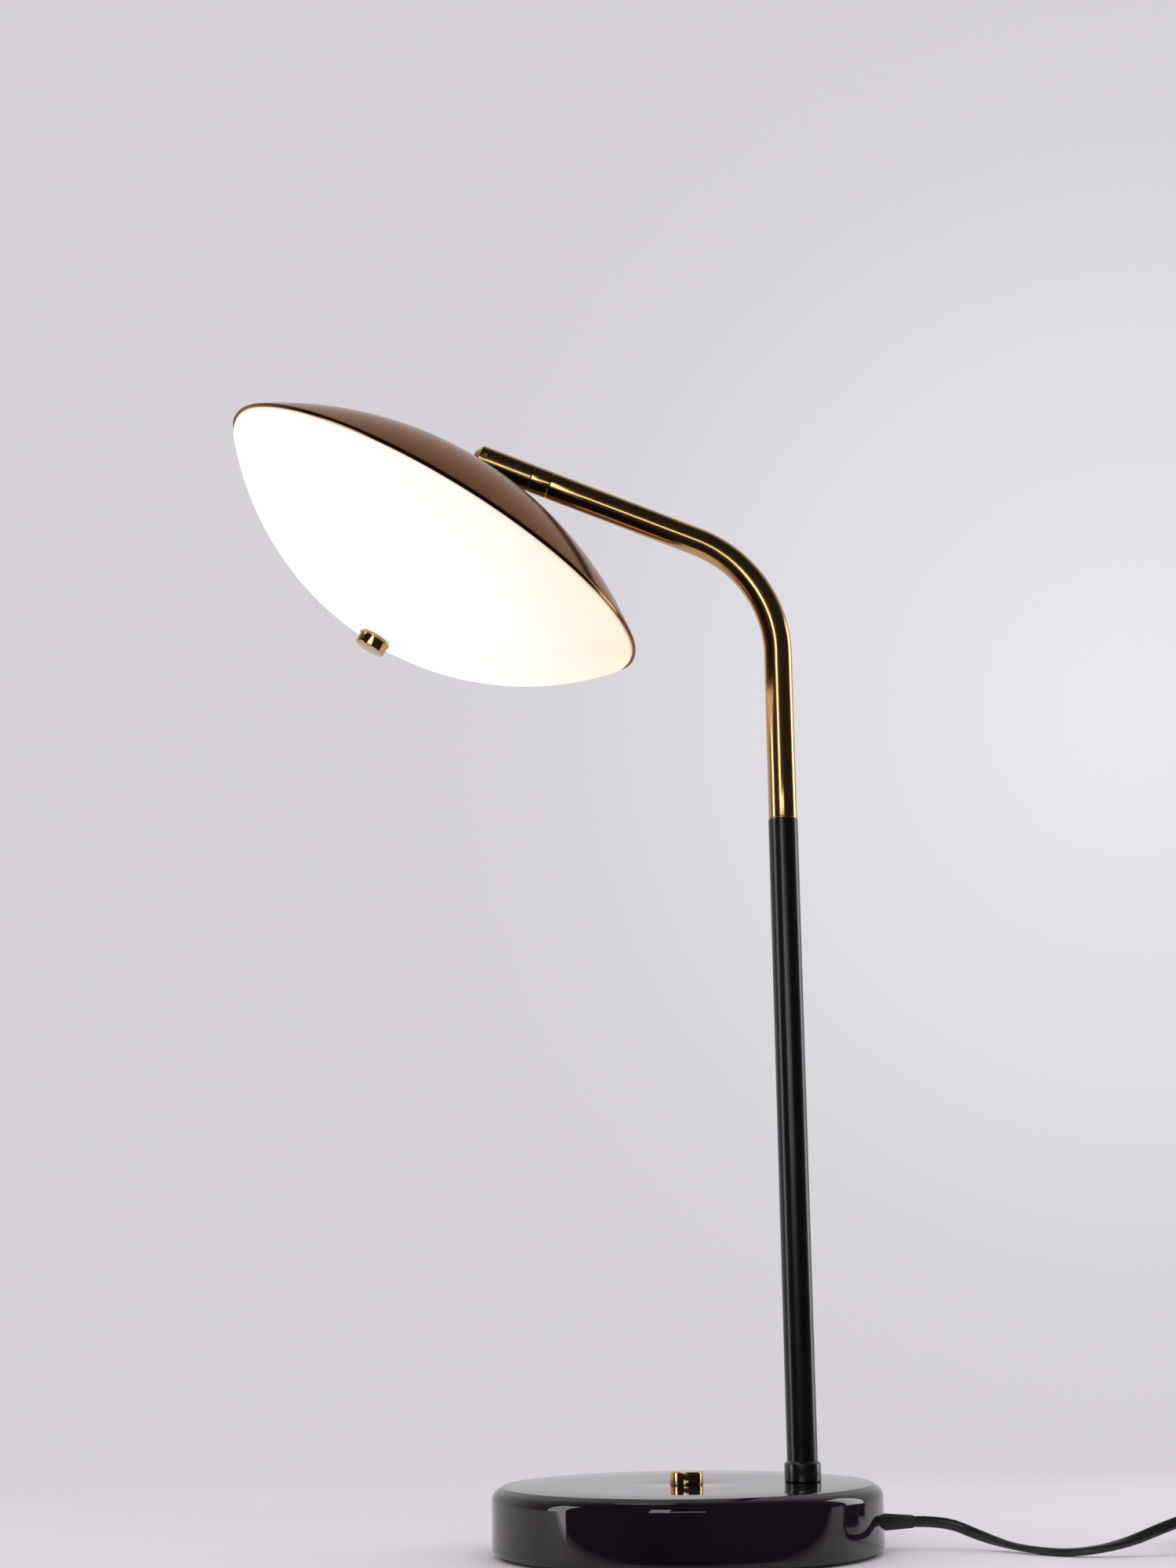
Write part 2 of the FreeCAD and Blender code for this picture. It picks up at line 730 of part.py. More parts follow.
def makeButton():
    """The brass push button, its return spring and the switch module that stands under it."""
    button = turned("dimmer_button", [
        ("0", "buttonTop"),
        ("buttonRadius - buttonChamfer", "buttonTop"),
        ("buttonRadius", "buttonTop - buttonChamfer"),
        ("buttonRadius", "buttonFlangeTop"),
        ("buttonFlangeRadius", "buttonFlangeTop"),
        ("buttonFlangeRadius", "buttonFlangeLow"),
        ("buttonStemRadius", "buttonFlangeLow"),
        ("buttonStemRadius", "buttonFlangeLow - buttonStemLength"),
        ("0", "buttonFlangeLow - buttonStemLength"),
    ])
    keep(button, "dimmer_button")
    stemDepth = "buttonFlangeLow - buttonStemLength - buttonTravel - faceGap"
    module = turned("switch_module", [
        ("0", "coverTop"),
        ("moduleRadius", "coverTop"),
        ("moduleRadius", "moduleTop"),
        ("springWellRadius", "moduleTop"),
        ("springWellRadius", "springFloor"),
        ("buttonStemRadius + slideFit", "springFloor"),
        ("buttonStemRadius + slideFit", stemDepth),
        ("0", stemDepth),
    ])
    keep(module, "switch_module")


def makeDriver():
    """The lamp driver and the terminal block, both standing on the bottom cover."""
    driver = block("driver_case", "driverLength", "driverWidth", "driverHeight",
                   "-driverOffset - driverLength", "-driverWidth / 2", "coverTop")
    keep(driver, "driver_case")
    terminal = block("terminal_block", "terminalLength", "terminalWidth", "terminalHeight",
                     "terminalOffset", "-terminalWidth / 2", "coverTop")
    keep(terminal, "terminal_block")


# ---------------------------------------------------------------- post
def makePost():
    """The black post on its collar, held from below by a threaded tube, a washer and a nut."""
    collar = turned("post_collar", [
        ("postRadius + fixedFit", "baseHeight"),
        ("collarRadius - collarFootChamfer", "baseHeight"),
        ("collarRadius", "baseHeight + collarFootChamfer"),
        ("collarRadius", "baseHeight + collarHeight - collarTopChamfer"),
        ("collarRadius - collarTopChamfer", "baseHeight + collarHeight"),
        ("postRadius + fixedFit", "baseHeight + collarHeight"),
    ])
    pieces = {
        "post_collar": collar,
        "post_tube": ring("post_tube", "postBore", "postRadius", "baseHeight", "seamHeight"),
        "post_bush": ring("post_bush", "nippleRadius + fixedFit", "postBore - fixedFit",
                          "baseHeight", "baseHeight + postBushHeight"),
        "stem_nipple": ring("stem_nipple", "nippleBore", "nippleRadius", "nippleFoot", "nippleTop"),
        "nipple_washer": ring("nipple_washer", "nippleRadius + fixedFit", "washerRadius",
                              "channelCeiling - washerHeight", "channelCeiling"),
        "seam_washer": ring("seam_washer", "armBore + runningFit", "armRadius", "seamHeight", "armFoot"),
        "turning_sleeve": turned("turning_sleeve", [
            ("sleeveBore", "seamHeight - sleeveBelow"),
            ("postBore - fixedFit", "seamHeight - sleeveBelow"),
            ("postBore - fixedFit", "seamHeight"),
            ("armBore - runningFit", "seamHeight"),
            ("armBore - runningFit", "seamHeight + sleeveAbove"),
            ("sleeveBore", "seamHeight + sleeveAbove"),
        ]),
    }
    for name, piece in pieces.items():
        place(piece, "postOffset")
        keep(piece, name)
    nut = hexNut("nipple_nut", "nutAcross", "nippleRadius + fixedFit", "nutHeight")
    place(nut, "postOffset", "0", "channelCeiling - washerHeight - nutHeight")
    keep(nut, "nipple_nut")


# ---------------------------------------------------------------- arm
def spine(name, low, reach):
    """The middle line of the arm: up the post, round the bend and along the straight end."""
    sketch = doc.addObject("Sketcher::SketchObject", name)
    sketch.Placement = FreeCAD.Placement(FreeCAD.Vector(), FreeCAD.Rotation(ACROSS, 90))
    points = [
        ("postOffset", low),
        ("postOffset", "armBendStart"),
        ("bendEndX", "bendEndZ"),
        ("bendEndX - (%s) * cos(armRise)" % reach, "bendEndZ + (%s) * sin(armRise)" % reach),
    ]
    spots = [FreeCAD.Vector(value(x), value(z), 0) for x, z in points]
    centre = FreeCAD.Vector(value("postOffset - armBendRadius"), value("armBendStart"), 0)
    circle = Part.Circle(centre, UP, value("armBendRadius"))
    sketch.addGeometry(Part.LineSegment(spots[0], spots[1]), False)
    sketch.addGeometry(Part.ArcOfCircle(circle, 0, math.radians(value("armLean"))), False)
    sketch.addGeometry(Part.LineSegment(spots[2], spots[3]), False)
    sketch.addConstraint(Sketcher.Constraint("Coincident", 0, 2, 1, 1))
    sketch.addConstraint(Sketcher.Constraint("Coincident", 1, 2, 2, 1))
    held = [
        ("DistanceX", "footAcross", 0, 1, "postOffset"),
        ("DistanceY", "footUp", 0, 1, low),
        ("DistanceX", "startAcross", 0, 2, "postOffset"),
        ("DistanceX", "centreAcross", 1, 3, "postOffset - armBendRadius"),
        ("DistanceY", "centreUp", 1, 3, "armBendStart"),
        ("DistanceY", "startUp", 0, 2, "armBendStart"),
        ("DistanceX", "bendAcross", 2, 1, "bendEndX"),
        ("DistanceX", "endAcross", 2, 2, points[3][0]),
        ("DistanceY", "endUp", 2, 2, points[3][1]),
    ]
    for kind, label, geometry, point, text in held:
        index = sketch.addConstraint(Sketcher.Constraint(kind, -1, 1, geometry, point, value(text)))
        sketch.renameConstraint(index, label)
        bind(sketch, "Constraints." + label, text)
    return sketch


def swept(name, radius, low, reach):
    """A round bar along the arm's middle line."""
    path = spine(name + "_path", low, reach)
    circle = doc.addObject("Part::Circle", name + "_section")
    bind(circle, "Radius", radius)
    place(circle, "postOffset", "0", low)
    doc.recompute()
    bar = doc.addObject("Part::Sweep", name)
    bar.Sections = [circle]
    bar.Spine = (path, ["Edge1", "Edge2", "Edge3"])
    bar.Solid = True
    bar.Frenet = False
    return bar


def makeArm():
    """The bent brass tube, the bush in its end with the ring on it, and the lead inside."""
    outside = swept("arm_outside", "armRadius", "armFoot", "armReach")
    inside = swept("arm_inside", "armBore", "armFoot", "armReach")
    keep(cutFrom("arm_tube", outside, [inside]), "arm_tube")
    bush = turned("arm_bush", [
        ("studRadius + runningFit", "armReach - armBushInside"),
        ("armBore - fixedFit", "armReach - armBushInside"),
        ("armBore - fixedFit", "armReach"),
        ("armSpigotRadius", "armReach"),
        ("armSpigotRadius", "ringEnd"),
        ("studRadius + runningFit", "ringEnd"),
    ])
    keep(seat(bush, "arm"), "arm_bush")
    collar = ring("swivel_ring", "armSpigotRadius + fixedFit", "armRadius", "armReach", "ringEnd")
    keep(seat(collar, "arm"), "swivel_ring")
    lead = swept("arm_lead", "leadRadius", "seamHeight + sleeveAbove + faceGap",
                 "knuckleStart + studInKnuckle")
    keep(lead, "arm_lead")


# ---------------------------------------------------------------- head swivel
def makeSwivel():
    """The hollow stud that the knuckle turns on, with its spring washer, nut and thrust washer."""
    stud = ring("swivel_stud", "studBore", "studRadius", "knuckleStart - studInside",
                "knuckleStart + studInKnuckle")
    keep(seat(stud, "arm"), "swivel_stud")
    washerLow = "armReach - armBushInside - springWasherHeight"
    washer = ring("spring_washer", "studRadius + fixedFit", "springWasherRadius",
                  washerLow, "armReach - armBushInside")
    keep(seat(washer, "arm"), "spring_washer")
    nut = hexNut("stud_nut", "studNutAcross", "studRadius + fixedFit", "studNutHeight")
    keep(seatAt(nut, "arm", washerLow + " - studNutHeight"), "stud_nut")
    thrust = ring("thrust_washer", "studRadius + fixedFit", "thrustWasherRadius",
                  "ringEnd", "knuckleStart")
    keep(seat(thrust, "arm"), "thrust_washer")

def makeKnuckle():
    """The knuckle with its stud well, slot and pin hole, its pin and the two washers in the slot."""
    bar = turned("knuckle_bar", [
        ("0", "knuckleStart"),
        ("armRadius", "knuckleStart"),
        ("armRadius", "knuckleEnd - knuckleNose"),
        ("knuckleNoseRadius", "knuckleEnd"),
        ("0", "knuckleEnd"),
    ])
    seat(bar, "arm")
    studWell = cylinder("knuckle_stud_well", "studRadius + fixedFit", "studInKnuckle + overcut")
    seatAt(studWell, "arm", "knuckleStart - overcut")
    leadWay = cylinder("knuckle_lead_way", "studBore", "slotLow - knuckleStart + overcut")
    seatAt(leadWay, "arm", "knuckleStart")
    slot = block("knuckle_slot", "armRadius * 2 + slotRoof", "slotWidth", "knuckleEnd - slotLow + overcut",
                 "bendEndX - slotLow * cos(armRise) - armRadius * 2 * sin(armRise)",
                 "-slotWidth / 2",
                 "bendEndZ + slotLow * sin(armRise) - armRadius * 2 * cos(armRise)",
                 TOWARDS_ARM, "armLean")
    pinHole = cylinder("knuckle_pin_hole", "pivotPinRadius + fixedFit", "armRadius * 3",
                       "pivotX", "armRadius * 1.5", "pivotZ", ACROSS, "90")
    keep(cutFrom("knuckle", bar, [studWell, leadWay, slot, pinHole]), "knuckle")
    pin = cylinder("pivot_pin", "pivotPinRadius", "pivotPinLength",
                   "pivotX", "pivotPinLength / 2", "pivotZ", ACROSS, "90")
    keep(pin, "pivot_pin")
    washers = []
    thickness = "(slotWidth - tongueThickness) / 2 - runningFit"
    for side, start in (("near", "-slotWidth / 2 + (%s)" % thickness), ("far", "slotWidth / 2")):
        disc = cylinder("pivot_washer_disc_" + side, "pivotWasherRadius", thickness,
                        "pivotX", start, "pivotZ", ACROSS, "90")
        hole = cylinder("pivot_washer_hole_" + side, "pivotPinRadius + fixedFit", "slotWidth * 2",
                        "pivotX", "slotWidth", "pivotZ", ACROSS, "90")
        washers.append(cutFrom("pivot_washer_" + side, disc, [hole]))
    keep(grouped("pivot_washers", washers), "pivot_washers")


# ---------------------------------------------------------------- head
def headLead(name, top, radius):
    """A round run down the stem, out of its side and down onto the lamp board."""
    offset = value("leadHoleOffset")
    level = value("headLeadTurnHeight")
    reach = value("headLeadReach")
    route = [
        vector(offset, 0, value(top)),
        vector(offset, 0, level),
        vector(reach, 0, level),
        vector(reach, 0, value("carrierFoot")),
    ]
    return pipe(name, tangentRuns(route, name), value(radius) * 2)


def makeShadeStem():
    """The tongue in the knuckle's slot, with the shank that carries the whole head."""
    disc = cylinder("tongue_disc", "tongueRadius", "tongueThickness",
                    "0", "tongueThickness / 2", "pivotAboveRim", ACROSS, "90")
    blade = block("tongue_blade", "tongueWidth", "tongueThickness", "pivotAboveShade",
                  "-tongueWidth / 2", "-tongueThickness / 2", "shadeHeight")
    shoulder = cylinder("tongue_shoulder", "shoulderRadius", "shoulderHeight", z="shadeHeight")
    shank = cylinder("tongue_shank", "shankRadius", "shankLength", z="shankFoot")
    solid = joined("tongue_solid", [disc, blade, shoulder, shank])
    pinHole = cylinder("tongue_pin_hole", "pivotPinRadius + runningFit", "tongueThickness * 2",
                       "0", "tongueThickness", "pivotAboveRim", ACROSS, "90")
    rodHole = cylinder("tongue_rod_hole", "rodRadius + fixedFit", "rodInShank + overcut",
                       z="shankFoot - overcut")
    leadHole = headLead("tongue_lead_hole", "pivotAboveRim + tongueRadius", "leadHoleRadius")
    stem = cutFrom("shade_stem", solid, [pinHole, rodHole, leadHole])
    keep(seat(stem, "shade"), "shade_stem")
    lead = headLead("head_lead", "pivotAboveRim + headLeadAbovePivot", "headLeadRadius")
    keep(seat(lead, "shade"), "head_lead")


def makeShadeShell():
    """The bronze dome: a shallow cap on a short straight lip, one wall thick."""
    centre = ("0", "shadeCapCentre")
    shell = turned("shade_shell", [
        ("shankHoleRadius", "sqrt(shadeCapRadius ^ 2 - shankHoleRadius ^ 2) + shadeCapCentre", "x"),
        ("shadeRadius", "shadeLip"),
        ("shadeRadius", "0"),
        ("shadeInnerRadius", "0"),
        ("shadeInnerRadius", "sqrt(shadeInnerCap ^ 2 - shadeInnerRadius ^ 2) + shadeCapCentre"),
        ("shankHoleRadius", "sqrt(shadeInnerCap ^ 2 - shankHoleRadius ^ 2) + shadeCapCentre", "x"),
    ], {0: centre, 4: centre})
    keep(seat(shell, "shade"), "shade_shell")
    gallery = ring("gallery_ring", "galleryInnerRadius", "galleryRadius", "gasketTop", "galleryTop")
    keep(seat(gallery, "shade"), "gallery_ring")
    gasket = ring("glass_gasket", "gasketInnerRadius", "gasketRadius", "glassTop", "gasketTop")
    keep(seat(gasket, "shade"), "glass_gasket")


def makeGlass():
    """The opal glass bowl: a short band at the rim, a soft shoulder and a shallow cap."""
    centre = ("0", "glassCapCentre")
    glass = turned("opal_diffuser", [
        ("glassHoleRadius", "glassCapCentre - sqrt(glassCapRadius ^ 2 - glassHoleRadius ^ 2)", "x"),
        ("glassRadius", "-glassBand"),
        ("glassRadius", "glassTop"),
        ("glassInnerRadius", "glassTop"),
        ("glassInnerRadius", "glassCapCentre - sqrt(glassInnerCap ^ 2 - glassInnerRadius ^ 2)"),
        ("glassHoleRadius", "glassCapCentre - sqrt(glassInnerCap ^ 2 - glassHoleRadius ^ 2)", "x"),
    ], {0: centre, 4: centre})
    doc.recompute()
    spin = glass.Tip
    names = []
    for number, edge in enumerate(spin.Shape.Edges, start=1):
        middle = edge.BoundBox.ZMax
        wide = abs(edge.BoundBox.XLength / 2 - value("glassRadius")) < 0.01
        if edge.Closed and wide and abs(middle + value("glassBand")) < 0.01:
            names.append("Edge%d" % number)
    soft = glass.newObject("PartDesign::Fillet", "glass_shoulder")
    soft.Base = (spin, names)
    bind(soft, "Radius", "glassShoulder")
    keep(seat(glass, "shade"), "opal_diffuser")


def makeLight():
    """The plate in the dome that carries the lamp board, with its nuts and the board's lights."""
    plate = ring("carrier_plate", "shankHoleRadius", "carrierRadius", "carrierFoot", "carrierTop")
    leadHole = cylinder("carrier_lead_hole", "leadHoleRadius + faceGap", "carrierHeight * 3",
                        "headLeadReach", "0", "carrierFoot - carrierHeight")
    keep(seat(cutFrom("light_carrier", plate, [leadHole]), "shade"), "light_carrier")
    board = ring("light_board", "boardHole", "boardRadius", "boardFoot", "carrierFoot")
    keep(seat(board, "shade"), "light_board")
    chips = []
    for number in range(int(value("chipCount"))):
        angle = "(%d * 360 / chipCount)" % number
        chip = block("chip_%d" % number, "chipSide", "chipSide", "chipHeight",
                     "chipRingRadius * cos%s - chipSide / 2" % angle,
                     "chipRingRadius * sin%s - chipSide / 2" % angle, "boardFoot - chipHeight")
        chips.append(chip)
    keep(seat(grouped("light_chips", chips), "shade"), "light_chips")
    washer = ring("shell_washer", "shankHoleRadius", "shellWasherRadius",
                  "shellNutTop", "shellWasherTop")
    keep(seat(washer, "shade"), "shell_washer")
    nuts = [
        hexNut("stem_nut_shell", "stemNutAcross", "shankHoleRadius", "stemNutHeight",
               "shellNutTop - stemNutHeight"),
        hexNut("stem_nut_above", "stemNutAcross", "shankHoleRadius", "stemNutHeight", "carrierTop"),
        hexNut("stem_nut_below", "stemNutAcross", "shankHoleRadius", "stemNutHeight",
               "carrierFoot - stemNutHeight"),
    ]
    keep(seat(grouped("stem_nuts", nuts), "shade"), "stem_nuts")


def makeFinial():
    """The rod through the glass, the brass finial on its end and the soft washer under it."""
    rod = cylinder("finial_rod", "rodRadius", "shankFoot + rodInShank - finialSeat + rodInFinial")
    keep(seatAt(rod, "shade", "finialSeat - rodInFinial"), "finial_rod")
    gasket = ring("finial_gasket", "rodRadius + fixedFit", "finialGasketRadius",
                  "finialSeat", "-glassDepth")
    keep(seat(gasket, "shade"), "finial_gasket")
    finial = turned("finial", [
        ("rodRadius + fixedFit", "finialSeat"),
        ("finialRimRadius", "finialSeat"),
        ("finialRimRadius", "finialSeat - finialRimHeight"),
        ("finialRadius", "finialSeat - finialRimHeight"),
        ("finialRadius", "finialFoot + finialChamfer"),
        ("finialRadius - finialChamfer", "finialFoot"),
        ("0", "finialFoot"),
        ("0", "finialSeat - rodInFinial - faceGap"),
        ("rodRadius + fixedFit", "finialSeat - rodInFinial - faceGap"),
    ])
    keep(seat(finial, "shade"), "finial")


# ---------------------------------------------------------------- cord and wires
def coilPath():
    """The put-away length of the cord: a round coil wound in and out in layers, from the top down."""
    steps = int(value("coilStepsPerLayer"))
    layers = int(value("coilLayers"))
    pitch = value("coilPitch")
    turns = value("coilTurnsPerLayer")
    outer = value("coilOuterRadius")
    floor = value("coilFloor")
    centre = vector(value("coilCentreAcross"), value("coilCentreDeep"), 0)
    straight = value("cordDiameter")
    lastStep = steps * layers
    stepTurn = 2 * math.pi * turns / steps
    nodes = []
    ways = []
    for number in range(lastStep + 1):
        layer, part = divmod(number, steps)
        inward = part / steps if layer % 2 == 0 else 1 - part / steps
        radius = outer - pitch * turns * inward
        level = layers - 1 - layer
        rateOut = pitch / (2 * math.pi) * (-1 if layer % 2 == 0 else 1)
        rateUp = 0
        if number == lastStep:
            level = 0
        if part == 0:
            rateOut = 0
        if part == 0 and 0 < number < lastStep:
            level += 0.5
            rateUp = -math.pi / 4 * pitch / stepTurn    # the middle of a smooth fall of two steps
        angle = -math.pi / 2 + stepTurn * number
        outward = vector(math.cos(angle), math.sin(angle), 0)
        along = vector(-math.sin(angle), math.cos(angle), 0)
        nodes.append(centre + outward * radius + vector(0, 0, floor + pitch * level))
        ways.append((along * radius + outward * rateOut + vector(0, 0, rateUp)).normalize())
    lead = nodes[0] - ways[0] * straight
    plugHeight = value("plugThickness") / 2
    tailEnd = nodes[-1] + ways[-1] * value("coilTailLength") + outward * value("coilTailShift")
    tailEnd.z = plugHeight
    cordEnd = tailEnd + ways[-1] * straight
    edges = [Part.LineSegment(lead, nodes[0]).toShape()]
    edges += windings(nodes + [tailEnd], ways + [ways[-1]])
    edges.append(Part.LineSegment(tailEnd, cordEnd).toShape())
    return Part.Wire(edges), lead, cordEnd, ways[-1]


def makeCord():
    """The mains cord: its tapered strain relief, the free stretch, the coil and the plug."""
    relief = turned("strain_relief", [
        ("0", "baseInnerRadius - reliefInside"),
        ("cordRadius", "baseInnerRadius - reliefInside"),
        ("cordRadius", "baseInnerRadius - reliefFlangeHeight - fixedFit"),
        ("reliefFlangeRadius", "baseInnerRadius - reliefFlangeHeight - fixedFit"),
        ("reliefFlangeRadius", "baseInnerRadius - faceGap"),
        ("reliefRootRadius", "baseInnerRadius - faceGap"),
        ("reliefRootRadius", "baseRadius + reliefRootLength"),
        ("reliefTipRadius", "reliefTip"),
        ("0", "reliefTip"),
    ])
    place(relief, "0", "0", "cordHeight", DEEP, "90")
    keep(relief, "strain_relief")
    path, coilStart, cordEnd, plugWay = coilPath()
    diameter = value("cordDiameter")
    height = value("cordHeight")
    tip = value("reliefTip")
    route = [
        vector(tip, 0, height),
        vector(tip + 15.0, 0, height),
        vector(tip + 28.5, -6.0, 6.8),
        vector(tip + 40.0, -18.0, 3.4),
        vector(tip + 50.0, -33.0, 2.56),
        vector(tip + 65.0, -46.0, 2.56),
        vector(tip + 86.0, -49.0, 6.2),
        vector(tip + 107.5, -46.0, 13.4),
        vector(tip + 128.5, -43.0, 18.6),
        vector(tip + 147.5, -42.2, 19.05),
        coilStart,
    ]
    free = tangentRuns(route, "cord")
    keep(pipe("cord", free, diameter), "cord")
    keep(pipe("cord_coil", path, diameter), "cord_coil")
    print("cord_coil least gap to itself %.2f mm" % leastGap(path, diameter))
    print("cord length in all %.0f mm" % (free.Length + path.Length))
    return cordEnd, plugWay


def makePlug(cordEnd, way):
    """The moulded plug on the cord's end, with its tapered neck and two round pins."""
    neckFront = "plugReliefLength"
    outline = [
        (neckFront, "-plugNeckWidth / 2"),
        (neckFront + " + plugBodyLength - plugFrontLength", "-plugFaceWidth / 2"),
        (neckFront + " + plugBodyLength", "-plugFaceWidth / 2"),
        (neckFront + " + plugBodyLength", "plugFaceWidth / 2"),
        (neckFront + " + plugBodyLength - plugFrontLength", "plugFaceWidth / 2"),
        (neckFront, "plugNeckWidth / 2"),
    ]
    body = padded("plug_moulding", outline, "plugThickness")
    doc.recompute()
    pad = body.Tip
    rounding = body.newObject("PartDesign::Fillet", "plug_rounding")
    rounding.Base = (pad, ["Edge%d" % (number + 1) for number in range(len(pad.Shape.Edges))])
    bind(rounding, "Radius", "plugRounding")
    place(body, "0", "0", "-plugThickness / 2")
    neck = doc.addObject("Part::Cone", "plug_neck")
    bind(neck, "Radius1", "plugReliefTipRadius")
    bind(neck, "Radius2", "plugReliefRadius")
    bind(neck, "Height", "plugReliefLength + plugRounding")
    place(neck, "0", "0", "0", DEEP, "90")
    plug = joined("plug_body", [neck, body])
    pins = []
    for side, name in ((-1, "near"), (1, "far")):
        pins.append(cylinder("plug_pin_" + name, "pinRadius", "pinLength", neckFront + " + plugBodyLength",
                             "%d * pinSpacing / 2" % side, "0", DEEP, "90"))
    pair = grouped("plug_pins", pins)
    spot = FreeCAD.Placement(cordEnd, FreeCAD.Rotation(UP, math.degrees(math.atan2(way.y, way.x))))
    for piece, label in ((plug, "plug_body"), (pair, "plug_pins")):
        piece.Placement = spot
        keep(piece, label)


def makeInnerLeads():
    """The mains lead from the strain relief, and the lead that goes up the post."""
    low = value("coverTop + cordRadius + restGap")
    entry = value("baseInnerRadius - reliefInside")
    height = value("cordHeight")
    terminal = value("terminalOffset + terminalLength")
    aside = value("mainsLeadOffset")
    mains = [
        vector(entry, 0, height),
        vector(entry - 7, 0, height),
        vector(entry - 16, 4.5, low + 1.5),
        vector(entry - 27, aside + 0.1, low),
        vector(terminal + 4, aside, low + 0.1),
        vector(terminal, aside, low + 0.1),
    ]
    keep(pipe("mains_lead", tangentRuns(mains, "mains_lead"), value("cordDiameter")), "mains_lead")
    bend = value("leadBend")
    post = value("postOffset")
    level = value("coverTop + leadRadius + restGap")
    bendStart = vector(post - bend, 0, level)
    bendEnd = vector(post, 0, level + bend)
    path = Part.Wire([
        Part.LineSegment(vector(terminal, 0, level), bendStart).toShape(),
        arcBetween(bendStart, vector(post, 0, level), bendEnd),
        Part.LineSegment(bendEnd, vector(post, 0, value("seamHeight + sleeveAbove"))).toShape(),
    ])
    keep(pipe("post_lead", path, value("leadRadius") * 2), "post_lead")


def makeSpring():
    """The return spring between the switch module and the button's flange."""
    wire = value("springWire")
    radius = value("springRadius")
    low = value("springFloor") + wire / 2
    high = value("buttonFlangeLow") - wire / 2
    turns = int(value("springTurns"))
    count = turns * 4
    nodes = []
    for number in range(count + 1):
        angle = math.pi / 2 * number
        level = low + (high - low) * number / count
        nodes.append(vector(radius * math.cos(angle), radius * math.sin(angle), level))
    ways = [vector(0, 1, 0)]
    for before, after in zip(nodes, nodes[2:]):
        ways.append((after - before).normalize())
    ways.append(vector(0, 1, 0))
    path = Part.Wire(windings(nodes, ways))
    keep(pipe("button_spring", path, wire), "button_spring")
    print("button_spring least gap to itself %.2f mm" % leastGap(path, wire))


makeBaseShell()
makeBaseWeight()
makeBottomCover()
makeButton()
makeSpring()
makeDriver()
makePost()
makeArm()
makeSwivel()
makeKnuckle()
makeShadeStem()
makeShadeShell()
makeGlass()
makeLight()
makeFinial()
makePlug(*makeCord())
makeInnerLeads()

# ---------------------------------------------------------------- checks and files
doc.recompute()
for thing in doc.Objects:
    faults = [state for state in thing.State if state in ("Invalid", "Error")]
    if faults:
        raise ValueError("%s is %s" % (thing.Name, ", ".join(faults)))
for thing in finished:
    if thing.Shape.isNull() or not thing.Shape.isValid():
        raise ValueError(thing.Label + " has no valid shape")
for thing in finished:
    thing.Shape.exportStep(os.path.join("parts", thing.Label + ".step"))
    print("%-18s %2d solids %12.1f mm3" % (thing.Label, len(thing.Shape.Solids), thing.Shape.Volume))
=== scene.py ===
import math

import bmesh
import bpy
from mathutils import Matrix, Vector


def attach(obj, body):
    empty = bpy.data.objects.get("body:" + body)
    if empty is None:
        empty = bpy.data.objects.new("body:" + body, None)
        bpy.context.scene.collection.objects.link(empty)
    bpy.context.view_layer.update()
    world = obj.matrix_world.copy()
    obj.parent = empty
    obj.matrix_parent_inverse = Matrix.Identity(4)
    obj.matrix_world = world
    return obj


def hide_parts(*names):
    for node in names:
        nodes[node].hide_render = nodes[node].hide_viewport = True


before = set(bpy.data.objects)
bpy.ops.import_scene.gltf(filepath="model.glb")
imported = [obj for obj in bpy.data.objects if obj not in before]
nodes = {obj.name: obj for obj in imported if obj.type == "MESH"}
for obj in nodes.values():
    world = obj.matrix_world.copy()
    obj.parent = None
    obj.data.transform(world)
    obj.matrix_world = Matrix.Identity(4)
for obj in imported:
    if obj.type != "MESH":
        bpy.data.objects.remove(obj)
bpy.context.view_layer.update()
lampScene = bpy.context.scene
print("frame loaded:", len(nodes), "nodes")


# The camera stands where the photograph was taken from.
cameraSettings = {
    "place": (-0.105474, -1.159365, 0.11825),
    "yaw": 3.172,        # degrees towards +X
    "pitch": 11.807,     # degrees up
    "roll": -0.781,
    "lens": 55.78,
    "sensor": 36.0,
    "clip": (0.05, 50.0),
}


def makeCamera(settings):
    data = bpy.data.cameras.new("photoCamera")
    data.sensor_width = settings["sensor"]
    data.lens = settings["lens"]
    data.clip_start, data.clip_end = settings["clip"]
    camera = bpy.data.objects.new("photoCamera", data)
    turn = (
        Matrix.Rotation(-math.radians(settings["yaw"]), 4, "Z")
        @ Matrix.Rotation(math.radians(90 + settings["pitch"]), 4, "X")
        @ Matrix.Rotation(math.radians(settings["roll"]), 4, "Z")
    )
    camera.matrix_world = Matrix.Translation(settings["place"]) @ turn
    lampScene.collection.objects.link(camera)
    lampScene.camera = camera


makeCamera(cameraSettings)
lampScene.view_settings.view_transform = "Standard"
print("camera placed")


# Node helpers for the finishes. A source or a point is a node with its output's name.
def addNode(tree, kind, values=None, **options):
    node = tree.nodes.new(kind)
    for name, option in options.items():
        setattr(node, name, option)
    for socket, amount in (values or {}).items():
        node.inputs[socket].default_value = amount
    return node


def wire(tree, giver, output, taker, entry):
    tree.links.new(giver.outputs[output], taker.inputs[entry])


def newFinish(name, sockets):
    material = bpy.data.materials.new(name)
    material.use_nodes = True
    tree = material.node_tree
    shader = tree.nodes["Principled BSDF"]
    for socket, amount in sockets.items():
        shader.inputs[socket].default_value = amount
    return material, tree, shader


